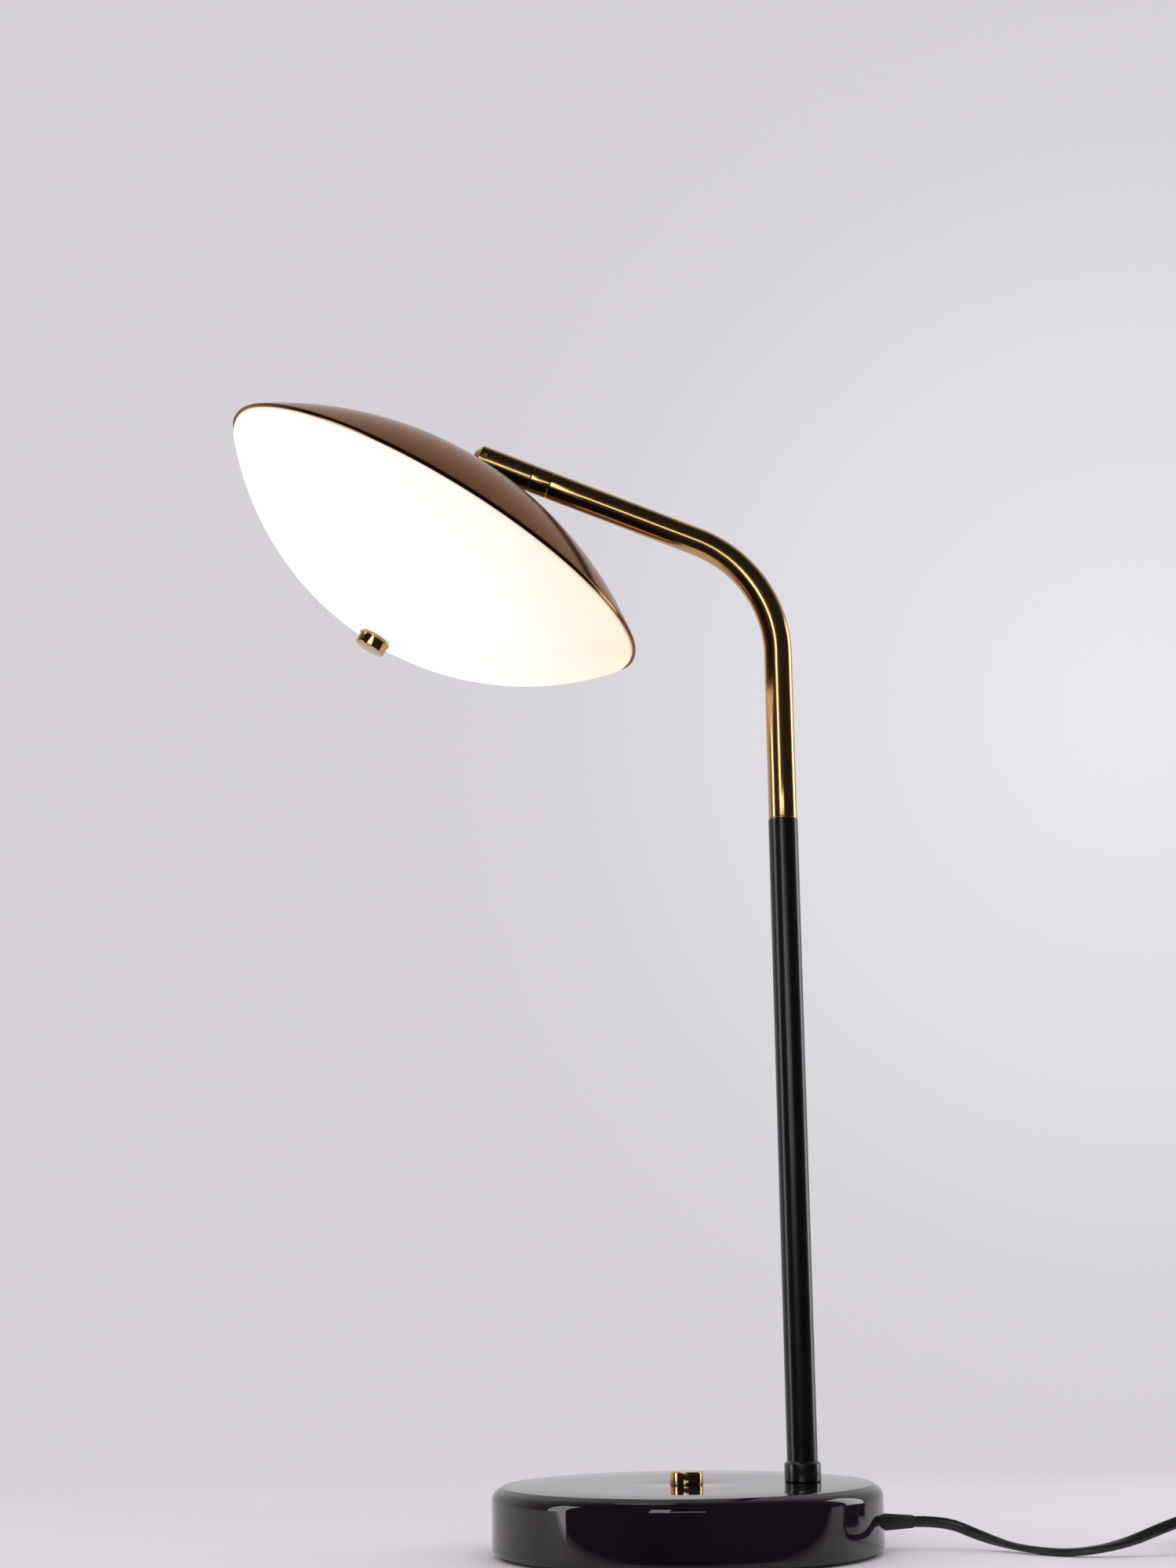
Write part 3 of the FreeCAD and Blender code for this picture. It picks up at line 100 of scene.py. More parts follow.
def surfacePoint(tree, centre=(0, 0, 0), turn=(0, 0, 0)):
    # Object coordinates, moved to a piece's own middle and turned to its own axis.
    coordinates = addNode(tree, "ShaderNodeTexCoord")
    mapping = addNode(tree, "ShaderNodeMapping", {"Location": centre, "Rotation": turn},
                      vector_type="TEXTURE")
    wire(tree, coordinates, "Object", mapping, "Vector")
    return mapping, "Vector"


def noiseOn(tree, point, scale, detail=3.0, roughness=0.5):
    noise = addNode(tree, "ShaderNodeTexNoise", {"Scale": scale, "Detail": detail, "Roughness": roughness})
    wire(tree, *point, noise, "Vector")
    return noise, "Fac"


def spread(tree, source, low, high, fromLow=0.3, fromHigh=0.7):
    # A pattern's grey values, stretched to the range that a socket needs.
    reach = addNode(tree, "ShaderNodeMapRange", {
        "From Min": fromLow,
        "From Max": fromHigh,
        "To Min": low,
        "To Max": high,
    })
    wire(tree, *source, reach, "Value")
    return reach, "Result"


def mixColours(tree, factor, first, second):
    mix = addNode(tree, "ShaderNodeMix", data_type="RGBA")
    colourInputs = [entry for entry in mix.inputs if entry.type == "RGBA"]
    colourInputs[0].default_value = first
    colourInputs[1].default_value = second
    wire(tree, *factor, mix, 0)
    return mix, [entry.type for entry in mix.outputs].index("RGBA")


def tint(tree, source, shader, darker, lighter):
    # The base colour drifts a little between two tones of the same finish.
    mixed = mixColours(tree, spread(tree, source, 0, 1), darker, lighter)
    wire(tree, *mixed, shader, "Base Color")


def roughOn(tree, source, shader, low, high):
    wire(tree, *spread(tree, source, low, high), shader, "Roughness")


def bumpOn(tree, source, shader, depth, strength=1.0):
    bump = addNode(tree, "ShaderNodeBump", {"Strength": strength, "Distance": depth})
    wire(tree, *source, bump, "Height")
    wire(tree, bump, "Normal", shader, "Normal")


def colour(red, green, blue):
    return (red, green, blue, 1.0)


# Noise patterns are given as scale, detail and roughness; reliefs as depth and strength.
lacquerPatterns = {
    "drift": (14.0, 2.0),
    "haze": (60.0, 6.0, 0.62),
    "peel": (420.0, 2.0),
}
lacquerSettings = {
    "baseLacquer": {
        "tones": (colour(0.007, 0.004, 0.007), colour(0.011, 0.007, 0.011)),
        "rough": (0.028, 0.05),
        "metallic": 0.0,
        "edgeTint": colour(1, 1, 1),
        "coat": 0.0,
        "peel": 0.000004,
        "middle": (0, 0, 0),
    },
    "postLacquer": {
        "tones": (colour(0.003, 0.003, 0.003), colour(0.005, 0.0045, 0.0055)),
        "rough": (0.22, 0.27),
        "metallic": 0.0,
        "edgeTint": colour(1, 1, 1),
        "coat": 0.0,
        "peel": 0.000004,
        "middle": (0.054, 0, 0),
    },
    "collarLacquer": {
        "tones": (colour(0.005, 0.005, 0.006), colour(0.009, 0.008, 0.010)),
        "rough": (0.20, 0.26),
        "metallic": 0.0,
        "edgeTint": colour(1, 1, 1),
        "coat": 0.3,
        "peel": 0.000006,
        "middle": (0.054, 0, 0),
    },
    "shadeLacquer": {
        "tones": (colour(0.175, 0.094, 0.052), colour(0.200, 0.110, 0.063)),
        "rough": (0.13, 0.16),
        "metallic": 1.0,
        "edgeTint": colour(0.80, 0.64, 0.54),
        "coat": 0.0,
        "peel": 0.0000012,
        "middle": (-0.1169, 0, 0.48255),
    },
}


def lacquerFinish(name, settings):
    # Sprayed lacquer: faint orange peel, a little dust in the gloss, tones that drift slowly.
    material, tree, shader = newFinish(name, {
        "Metallic": settings["metallic"],
        "Specular Tint": settings["edgeTint"],
        "Coat Weight": settings["coat"],
        "Coat Roughness": settings["rough"][0],
    })
    point = surfacePoint(tree, settings["middle"])
    tint(tree, noiseOn(tree, point, *lacquerPatterns["drift"]), shader, *settings["tones"])
    roughOn(tree, noiseOn(tree, point, *lacquerPatterns["haze"]), shader, *settings["rough"])
    bumpOn(tree, noiseOn(tree, point, *lacquerPatterns["peel"]), shader, settings["peel"])
    return material


brassSettings = {
    "drawn": {
        "tones": (colour(0.56, 0.35, 0.155), colour(0.64, 0.41, 0.19)),
        "rough": (0.15, 0.19),
        "stretch": (1.0, 1.0, 0.03),
        "drift": (2.2, 3.0),
        "lines": (13.0, 1.5, 0.5),
    },
    "turned": {
        "tones": (colour(0.60, 0.375, 0.165), colour(0.68, 0.44, 0.20)),
        "rough": (0.08, 0.13),
        "drift": (90.0, 3.0),
        "wear": (260.0, 5.0, 0.6),
        "rings": {"Scale": 2600.0, "Distortion": 1.5, "Detail": 2.0, "Detail Scale": 1.0},
        "relief": (0.0000012, 0.7),
    },
    "plain": {
        "tones": (colour(0.42, 0.28, 0.12), colour(0.50, 0.34, 0.16)),
        "rough": (0.24, 0.34),
        "drift": (70.0, 3.0),
        "wear": (420.0, 5.0, 0.65),
        "relief": (0.000004, 0.6),
    },
}


def drawnBrassFinish(name, settings):
    # Satin brass whose gloss changes in fine lines along the tube, by the piece's own attribute.
    material, tree, shader = newFinish(name, {"Metallic": 1.0})
    drawn = addNode(tree, "ShaderNodeAttribute", attribute_name="drawnWay")
    stretch = addNode(tree, "ShaderNodeMapping", {"Scale": settings["stretch"]})
    wire(tree, drawn, "Vector", stretch, "Vector")
    point = (stretch, "Vector")
    tint(tree, noiseOn(tree, point, *settings["drift"]), shader, *settings["tones"])
    roughOn(tree, noiseOn(tree, point, *settings["lines"]), shader, *settings["rough"])
    return material


def turnedBrassFinish(name, settings, centre, turn):
    # Brass turned on a lathe: the tool's rings run round the piece's own axis.
    material, tree, shader = newFinish(name, {"Metallic": 1.0})
    point = surfacePoint(tree, centre, turn)
    rings = addNode(tree, "ShaderNodeTexWave", settings["rings"], wave_type="RINGS", rings_direction="Z")
    wire(tree, *point, rings, "Vector")
    tint(tree, noiseOn(tree, point, *settings["drift"]), shader, *settings["tones"])
    roughOn(tree, noiseOn(tree, point, *settings["wear"]), shader, *settings["rough"])
    bumpOn(tree, (rings, "Color"), shader, *settings["relief"])
    return material


def plainBrassFinish(name, settings):
    material, tree, shader = newFinish(name, {"Metallic": 1.0})
    point = surfacePoint(tree)
    tint(tree, noiseOn(tree, point, *settings["drift"]), shader, *settings["tones"])
    wear = noiseOn(tree, point, *settings["wear"])
    roughOn(tree, wear, shader, *settings["rough"])
    bumpOn(tree, wear, shader, *settings["relief"])
    return material


opalSettings = {
    "rim": (-0.1169, 0.0, 0.48255),
    "tilt": 30.4,
    "radius": 0.1135,
    "glass": colour(0.80, 0.78, 0.74),
    "rough": 0.32,
    "glow": 0.53,
    "cool": colour(1.0, 0.98, 0.93),
    "warm": colour(0.875, 0.70, 0.38),
    "rimFrom": 0.72,         # part of the radius where the glow starts to warm
    "rimWarmth": 0.55,
    "lowFrom": 0.3,          # and the same towards the low side
    "lowWarmth": 0.6,
    "veilNoise": (22.0, 3.0),
    "veil": 0.06,
    "ripple": (120.0, 2.0),
    "relief": (0.00001, 0.5),
}


def opalFinish(settings):
    # Lit opal glass: nearly white in the middle, creamier towards its edge.
    material, tree, shader = newFinish("opalGlass", {
        "Base Color": settings["glass"],
        "Roughness": settings["rough"],
        "Emission Strength": settings["glow"],
    })
    radius = settings["radius"]
    point = surfacePoint(tree, settings["rim"], (0, math.radians(settings["tilt"]), 0))
    parts = addNode(tree, "ShaderNodeSeparateXYZ")
    wire(tree, *point, parts, "Vector")
    flat = addNode(tree, "ShaderNodeCombineXYZ")
    wire(tree, parts, "X", flat, "X")
    wire(tree, parts, "Y", flat, "Y")
    far = addNode(tree, "ShaderNodeVectorMath", operation="LENGTH")
    wire(tree, flat, "Vector", far, 0)
    rim = spread(tree, (far, "Value"), 0.0, settings["rimWarmth"], radius * settings["rimFrom"], radius)
    low = spread(tree, (parts, "X"), 0.0, settings["lowWarmth"], radius * settings["lowFrom"], radius)
    edge = addNode(tree, "ShaderNodeMath", operation="ADD")
    wire(tree, *rim, edge, 0)
    wire(tree, *low, edge, 1)
    cloud = noiseOn(tree, point, *settings["veilNoise"])
    veil = spread(tree, cloud, -settings["veil"], settings["veil"])
    warmth = addNode(tree, "ShaderNodeMath", operation="ADD", use_clamp=True)
    wire(tree, edge, "Value", warmth, 0)
    wire(tree, *veil, warmth, 1)
    glow = mixColours(tree, (warmth, "Value"), settings["cool"], settings["warm"])
    wire(tree, *glow, shader, "Emission Color")
    bumpOn(tree, noiseOn(tree, point, *settings["ripple"]), shader, *settings["relief"])
    return material


metalPatterns = {"cloud": (0.2, 4.0, 0.6), "fine": (5.0, 0.6), "strength": 0.8}
metalSettings = {
    "zincSteel": {
        "tones": (colour(0.42, 0.43, 0.45), colour(0.56, 0.56, 0.55)),
        "rough": (0.28, 0.42),
        "grain": 300.0,
        "depth": 0.000005,
    },
    "bareAluminium": {
        "tones": (colour(0.62, 0.62, 0.64), colour(0.74, 0.74, 0.75)),
        "rough": (0.30, 0.45),
        "grain": 300.0,
        "depth": 0.000005,
    },
    "nickelPins": {
        "tones": (colour(0.62, 0.59, 0.55), colour(0.72, 0.70, 0.66)),
        "rough": (0.10, 0.20),
        "grain": 500.0,
        "depth": 0.000005,
    },
    "castIron": {
        "tones": (colour(0.05, 0.05, 0.05), colour(0.10, 0.095, 0.09)),
        "rough": (0.62, 0.85),
        "grain": 700.0,
        "depth": 0.00012,
    },
}


def metalFinish(name, settings):
    # Zinc, nickel, bare aluminium or cast iron, by its tones and how coarse its grain is.
    material, tree, shader = newFinish(name, {"Metallic": 1.0})
    point = surfacePoint(tree)
    share, detail, roughness = metalPatterns["cloud"]
    cloud = noiseOn(tree, point, settings["grain"] * share, detail, roughness)
    tint(tree, cloud, shader, *settings["tones"])
    fine = noiseOn(tree, point, settings["grain"], *metalPatterns["fine"])
    roughOn(tree, fine, shader, *settings["rough"])
    bumpOn(tree, fine, shader, settings["depth"], metalPatterns["strength"])
    return material


mouldedPatterns = {"cloud": (40.0, 3.0), "skin": (3.0, 0.55), "strength": 0.7}
mouldedSettings = {
    "softRubber": {
        "tones": (colour(0.013, 0.013, 0.014), colour(0.022, 0.021, 0.022)),
        "rough": (0.58, 0.74),
        "grain": 900.0,
        "depth": 0.00001,
    },
    "bearingPlastic": {
        "tones": (colour(0.012, 0.012, 0.013), colour(0.02, 0.02, 0.021)),
        "rough": (0.36, 0.46),
        "grain": 900.0,
        "depth": 0.00001,
    },
    "plugPlastic": {
        "tones": (colour(0.010, 0.010, 0.011), colour(0.017, 0.016, 0.018)),
        "rough": (0.30, 0.42),
        "grain": 1200.0,
        "depth": 0.000012,
    },
    "cordSheath": {
        "tones": (colour(0.009, 0.009, 0.010), colour(0.016, 0.015, 0.017)),
        "rough": (0.24, 0.36),
        "grain": 600.0,
        "depth": 0.00001,
    },
    "leadSheath": {
        "tones": (colour(0.30, 0.30, 0.31), colour(0.40, 0.40, 0.40)),
        "rough": (0.38, 0.5),
        "grain": 900.0,
        "depth": 0.00001,
    },
    "whiteCase": {
        "tones": (colour(0.66, 0.66, 0.64), colour(0.76, 0.76, 0.73)),
        "rough": (0.4, 0.55),
        "grain": 900.0,
        "depth": 0.00001,
    },
    "solderMask": {
        "tones": (colour(0.80, 0.80, 0.78), colour(0.88, 0.88, 0.86)),
        "rough": (0.25, 0.35),
        "grain": 900.0,
        "depth": 0.00001,
    },
    "chipPhosphor": {
        "tones": (colour(0.78, 0.60, 0.16), colour(0.88, 0.72, 0.26)),
        "rough": (0.3, 0.5),
        "grain": 900.0,
        "depth": 0.00001,
    },
}


def mouldedFinish(name, settings):
    # Moulded plastic or rubber with a fine spark-eroded skin.
    material, tree, shader = newFinish(name, {"Metallic": 0.0})
    point = surfacePoint(tree)
    tint(tree, noiseOn(tree, point, *mouldedPatterns["cloud"]), shader, *settings["tones"])
    skin = noiseOn(tree, point, settings["grain"], *mouldedPatterns["skin"])
    roughOn(tree, skin, shader, *settings["rough"])
    bumpOn(tree, skin, shader, settings["depth"], mouldedPatterns["strength"])
    return material


finishes = {name: lacquerFinish(name, row) for name, row in lacquerSettings.items()}
finishes["drawnBrass"] = drawnBrassFinish("drawnBrass", brassSettings["drawn"])
finishes["buttonBrass"] = turnedBrassFinish("buttonBrass", brassSettings["turned"], (0, 0, 0), (0, 0, 0))
finishes["finialBrass"] = turnedBrassFinish("finialBrass", brassSettings["turned"], opalSettings["rim"],
                                            (0, math.radians(opalSettings["tilt"]), 0))
finishes["plainBrass"] = plainBrassFinish("plainBrass", brassSettings["plain"])
finishes["opalGlass"] = opalFinish(opalSettings)
for name, row in metalSettings.items():
    finishes[name] = metalFinish(name, row)
for name, row in mouldedSettings.items():
    finishes[name] = mouldedFinish(name, row)
print("finishes mixed")


# Shaping helpers. Sizes are in millimetres until a piece is finished.
def isVert(part):
    return isinstance(part, bmesh.types.BMVert)


def isEdge(part):
    return isinstance(part, bmesh.types.BMEdge)


def drawProfile(start, strokes):
    # Each stroke is a line to (across, up), or an arc: centre across, centre up, degrees, steps.
    bm = bmesh.new()
    tip = bmesh.ops.create_vert(bm, co=(start[0], 0, start[1]))["vert"][0]
    for stroke in strokes:
        if len(stroke) == 2:
            tip = bmesh.ops.extrude_vert_indiv(bm, verts=[tip])["verts"][0]
            tip.co = (stroke[0], 0, stroke[1])
        else:
            across, up, degrees, steps = stroke
            spun = bmesh.ops.spin(bm, geom=[tip], cent=(across, 0, up), axis=(0, 1, 0),
                                  angle=math.radians(degrees), steps=steps)
            tip = [part for part in spun["geom_last"] if isVert(part)][0]
    return bm


def turnProfile(start, strokes, steps=128):
    bm = drawProfile(start, strokes)
    bmesh.ops.spin(bm, geom=bm.verts[:] + bm.edges[:], cent=(0, 0, 0), axis=(0, 0, 1),
                   angle=2 * math.pi, steps=steps, use_merge=True)
    cleanShape(bm)
    return bm


def cleanShape(bm):
    bmesh.ops.remove_doubles(bm, verts=bm.verts[:], dist=0.002)
    bmesh.ops.recalc_face_normals(bm, faces=bm.faces[:])


def sharpEdges(bm, least):
    limit = math.radians(least)
    return [edge for edge in bm.edges if len(edge.link_faces) == 2 and edge.calc_face_angle(0) > limit]


def softenEdges(bm, edges, offset, segments=3):
    bmesh.ops.bevel(bm, geom=edges, offset=offset, offset_type="OFFSET", affect="EDGES",
                    segments=segments, profile=0.5, material=-1, clamp_overlap=True)


def moveShape(bm, matrix):
    bmesh.ops.transform(bm, matrix=matrix, verts=bm.verts[:])


def extendRing(bm, ringEdges, matrix):
    grown = bmesh.ops.extrude_edge_only(bm, edges=ringEdges)["geom"]
    newVerts = [part for part in grown if isVert(part)]
    fresh = set(newVerts)
    bmesh.ops.transform(bm, matrix=matrix, verts=newVerts)
    return [part for part in grown if isEdge(part) and set(part.verts) <= fresh]


def closeEnds(bm):
    bmesh.ops.holes_fill(bm, edges=[edge for edge in bm.edges if edge.is_boundary])
    bmesh.ops.recalc_face_normals(bm, faces=bm.faces[:])


def finishPiece(bm, name, finish, body, stands=(), sharpFrom=32):
    for face in bm.faces:
        face.smooth = True
    for edge in bm.edges:
        edge.smooth = len(edge.link_faces) < 2 or edge.calc_face_angle(0) < math.radians(sharpFrom)
    bmesh.ops.scale(bm, vec=(0.001, 0.001, 0.001), verts=bm.verts[:])
    mesh = bpy.data.meshes.new(name)
    bm.to_mesh(mesh)
    bm.free()
    mesh.materials.append(finishes[finish])
    piece = bpy.data.objects.new(name, mesh)
    lampScene.collection.objects.link(piece)
    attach(piece, body)
    if stands:
        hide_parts(*stands)
    return piece


def copyOfNode(nodeName):
    # A merged copy of a CAD node in millimetres, so its round faces can be shaded smoothly.
    bm = bmesh.new()
    bm.from_mesh(nodes[nodeName].data)
    bmesh.ops.scale(bm, vec=(1000, 1000, 1000), verts=bm.verts[:])
    bmesh.ops.remove_doubles(bm, verts=bm.verts[:], dist=0.002)
    return bm


# The cord: a flat twin lead that leaves the base, lies on the table and is put away in a coil.
cordSettings = {
    "exit": (104.5, 0.0, 12.4),
    "route": [(119.5, 0.0, 12.4), (133.0, -6.0, 6.6), (144.5, -18.0, 2.9), (154.5, -33.0, 1.75),
              (169.5, -46.0, 1.75), (190.5, -49.0, 5.6), (212.0, -46.0, 13.4), (233.0, -43.0, 18.6),
              (252.0, -42.2, 19.05), (265.4, -42.2, 19.05)],
    "width": 5.0,
    "thickness": 3.4,
    "waist": 0.84,
    "sides": 20,
    "length": 1.783,
    "coilCentre": (272.0, -9.0),
    "coilRadius": 33.2,
    "pitch": 5.5,
    "layers": 4,
    "turnsPerLayer": 2.3125,
    "stepsPerTurn": 16,
    "climb": 83,           # degrees on each side of a place where the cord climbs down
    "lineSteps": 5,
    "leastStep": 0.3,
    "floor": 2.55,
    "tail": [(305.2, -2.4, 2.55), (306.6, 5.5, 3.5), (310.2, 13.5, 6.85), (310.2, 22.0, 6.85)],
    # along the cord from its exit in millimetres, and how far the flat side has turned
    "twist": [(0, 0), (24, 0), (52, 78), (92, 96), (128, 160), (170, 180), (2000, 180)],
}


def coilLevel(step, perLayer, layers, half):
    # Whole layers, with a smooth fall round each place where the cord climbs down.
    level = layers - 1
    for climb in range(1, layers):
        part = min(1, max(0, (step - climb * perLayer + half) / (2 * half)))
        level -= (1 - math.cos(math.pi * part)) / 2
    return level


def coilPoints(settings):
    steps = settings["stepsPerTurn"]
    perLayer = int(round(steps * settings["turnsPerLayer"]))
    stretch = 1 / math.cos(math.pi / steps)
    across, deep = settings["coilCentre"]
    points = []
    for number in range(perLayer * settings["layers"]):
        step = number + 0.5
        layer, part = divmod(step, perLayer)
        inward = part if layer % 2 == 0 else perLayer - part
        radius = (settings["coilRadius"] - settings["pitch"] * inward / steps) * stretch
        angle = -math.pi / 2 + 2 * math.pi * step / steps
        level = coilLevel(step, perLayer, settings["layers"], steps * settings["climb"] / 360)
        points.append((across + radius * math.cos(angle), deep + radius * math.sin(angle),
                       settings["floor"] + settings["pitch"] * level))
    return points


def cordLine(settings):
    # One smooth spline through the exit, the free stretch, the coil and the tail.
    controls = [settings["exit"]] + settings["route"] + coilPoints(settings) + settings["tail"]
    curve = bpy.data.curves.new("cordLine", "CURVE")
    curve.dimensions = "3D"
    spline = curve.splines.new("NURBS")
    spline.points.add(len(controls) - 1)
    for point, control in zip(spline.points, controls):
        point.co = (control[0], control[1], control[2], 1)
    spline.order_u = 3
    spline.use_endpoint_u = True
    spline.resolution_u = settings["lineSteps"]
    holder = bpy.data.objects.new("cordLine", curve)
    lampScene.collection.objects.link(holder)
    mesh = bpy.data.meshes.new_from_object(holder)
    points = [vertex.co.copy() for vertex in mesh.vertices]
    bpy.data.objects.remove(holder)
    bpy.data.meshes.remove(mesh)
    kept = [points[0]]
    for point in points[1:]:
        if (point - kept[-1]).length > settings["leastStep"]:
            kept.append(point)
    return kept


def twistAt(stations, along):
    for (start, before), (end, after) in zip(stations, stations[1:]):
        if along <= end:
            part = (along - start) / (end - start)
            part = part * part * (3 - 2 * part)
            return math.radians(before + (after - before) * part)
    return math.radians(stations[-1][1])


def cordStations(points, settings):
    # A frame at each point of the line: the flat side, the thin side and the way on.
    stations = []
    along = 0
    for number, point in enumerate(points):
        before = points[max(0, number - 1)]
        after = points[min(len(points) - 1, number + 1)]
        way = (after - before).normalized()
        upright = (Vector((0, 0, 1)) - way * way.z).normalized()
        level = way.cross(upright)
        if number:
            along += (point - before).length
        turn = twistAt(settings["twist"], along)
        wide = upright * math.cos(turn) + level * math.sin(turn)
        thin = way.cross(wide)
        station = Matrix((wide, thin, way)).transposed().to_4x4()
        station.translation = point
        stations.append(station)
    return stations


def makeCord(settings):
    points = cordLine(settings)
    stations = cordStations(points, settings)
    bm = bmesh.new()
    radius = settings["thickness"] / 2
    bmesh.ops.create_circle(bm, segments=settings["sides"], radius=radius)
    for vert in bm.verts:
        side = (vert.co.x > 0.01) - (vert.co.x < -0.01)
        if side:
            vert.co.x += side * (settings["width"] / 2 - radius)
        else:
            vert.co.y *= settings["waist"]
    moveShape(bm, stations[0])
    ringEdges = bm.edges[:]
    for before, after in zip(stations, stations[1:]):
        ringEdges = extendRing(bm, ringEdges, after @ before.inverted())
    closeEnds(bm)
    cord = finishPiece(bm, "mainsCord", "cordSheath", "base", ["cord", "cord_coil"], 60)


makeCord(cordSettings)
print("cord laid")


# The base: a spun cover with a flat top, a bevelled and rounded edge and a rolled-in foot.
baseSettings = {
    "radius": 90.0,
    "height": 31.0,
    "flatRadius": 85.3,
    "bevelOuter": 87.3,
    "bevelLow": 29.845,
    "shoulderCentre": (84.6, 25.169),
    "footCentre": (86.5, 4.7),
    "foot": 1.2,
    "inner": 86.5,
    "underTop": 28.0,
    "buttonHole": 7.9,
    "holeEdge": 0.25,
    "topRings": (30.0, 60.0),
    "sideRing": 15.0,
    "soft": 0.22,
    "softFrom": 29,          # only the edges above this height are softened
    "sides": 224,
}


def makeBase(settings):
    hole = settings["buttonHole"]
    height = settings["height"]
    shoulder = settings["shoulderCentre"]
    foot = settings["footCentre"]
    bm = turnProfile((hole, settings["underTop"]), [
        (hole, height - settings["holeEdge"]),
        (hole + settings["holeEdge"], height),
        (settings["topRings"][0], height),
        (settings["topRings"][1], height),
        (settings["flatRadius"], height),
        (settings["bevelOuter"], settings["bevelLow"]),
        (shoulder[0], shoulder[1], 60, 14),
        (settings["radius"], settings["sideRing"]),
        (settings["radius"], foot[1]),
        (foot[0], foot[1], 90, 12),
        (settings["inner"], settings["foot"] + 1.0),
        (settings["inner"], settings["underTop"]),
        (hole, settings["underTop"]),
    ], settings["sides"])
    least = settings["softFrom"]
    rim = [edge for edge in sharpEdges(bm, 12) if min(vert.co.z for vert in edge.verts) > least]
    softenEdges(bm, rim, settings["soft"])
    finishPiece(bm, "baseCover", "baseLacquer", "base", ["base_shell"])


makeBase(baseSettings)

buttonSettings = {"radius": 7.65, "top": 36.6, "foot": 29.6, "chamfer": 0.5, "soft": 0.14, "sides": 96}


def makeButton(settings):
    radius = settings["radius"]
    bm = turnProfile((0, settings["top"]), [
        (radius - settings["chamfer"], settings["top"]),
        (radius, settings["top"] - settings["chamfer"]),
        (radius, settings["foot"]),
        (0, settings["foot"]),
    ], settings["sides"])
    softenEdges(bm, sharpEdges(bm, 25), settings["soft"])
    finishPiece(bm, "dimmerKnob", "buttonBrass", "button", ["dimmer_button"])


makeButton(buttonSettings)
print("base and button turned")

postSettings = {
    "across": 54.0,
    "radius": 7.15,
    "foot": 31.0,
    "top": 343.0,
    "collarRadius": 8.5,
    "collarTop": 40.4,
    "collarChamfer": 1.3,
    "collarFootChamfer": 0.4,
    "collarGap": 0.05,
    "collarSoft": 0.18,
    "postRings": (120.0, 230.0),
    "topEdge": 0.3,
    "sides": 96,
}


def makePost(settings):
    place = Matrix.Translation((settings["across"], 0, 0))
    radius = settings["radius"]
    foot = settings["foot"]
    bm = turnProfile((0, foot), [
        (radius, foot),
        (radius, settings["postRings"][0]),
        (radius, settings["postRings"][1]),
        (radius, settings["top"] - settings["topEdge"]),
        (radius - settings["topEdge"], settings["top"]),
        (0, settings["top"]),
    ], settings["sides"])
    moveShape(bm, place)
    finishPiece(bm, "post", "postLacquer", "base", ["post_tube"])

    inner = radius + settings["collarGap"]
    outer = settings["collarRadius"]
    bm = turnProfile((inner, foot), [
        (outer - settings["collarFootChamfer"], foot),
        (outer, foot + settings["collarFootChamfer"]),
        (outer, settings["collarTop"] - settings["collarChamfer"]),
        (outer - settings["collarChamfer"], settings["collarTop"]),
        (inner, settings["collarTop"]),
        (inner, foot),
    ], settings["sides"])
    softenEdges(bm, sharpEdges(bm, 25), settings["collarSoft"])
    moveShape(bm, place)
    finishPiece(bm, "postCollar", "collarLacquer", "base", ["post_collar"])


makePost(postSettings)
print("post and collar turned")

# The arm: drawn brass tube, straight up from the seam, bent, then straight to the swivel.
armSettings = {
    "across": 54.0,
    "radius": 6.9,
    "seam": 343.4,
    "bendStart": 426.9,
    "bendRadius": 62.1,
    "rise": 21.7,          # degrees above level after the bend
    "reach": 78.4,
    "ringEnd": 88.6,
    "bendSteps": 56,
    "straightSteps": 4,
    "endSoft": 0.3,
    "ringEdges": (0.45, 0.35),
    "ringSoft": 0.1,
    "sides": 96,
}


def armFrame(settings):
    turn = 90 - settings["rise"]
    middle = settings["across"] - settings["bendRadius"]
    end = Vector((
        middle + settings["bendRadius"] * math.cos(math.radians(turn)),
        0,
        settings["bendStart"] + settings["bendRadius"] * math.sin(math.radians(turn)),
    ))
    return Matrix.Translation(end) @ Matrix.Rotation(-math.radians(turn), 4, "Y")


def drawnPoint(co, settings, toArm):
    # Round the tube as a unit circle, and along it in tenths of a metre.
    middle = settings["across"] - settings["bendRadius"]
    local = toArm @ co
    if local.z > 0:
        bend = math.radians(90 - settings["rise"]) * settings["bendRadius"]
        length = settings["bendStart"] - settings["seam"] + bend + local.z
        out, side = local.x, local.y
    elif co.z > settings["bendStart"]:
        reach = Vector((co.x - middle, 0, co.z - settings["bendStart"]))
        angle = math.atan2(reach.z, reach.x)
        length = settings["bendStart"] - settings["seam"] + angle * settings["bendRadius"]
        out, side = reach.length - settings["bendRadius"], co.y
    else:
        length = co.z - settings["seam"]
        out, side = co.x - settings["across"], co.y
    return Vector((out / settings["radius"], side / settings["radius"], length / 100))


def markDrawnWay(bm, settings):
    layer = bm.verts.layers.float_vector.new("drawnWay")
    toArm = armFrame(settings).inverted()
    for vert in bm.verts:
        vert[layer] = drawnPoint(vert.co, settings, toArm)


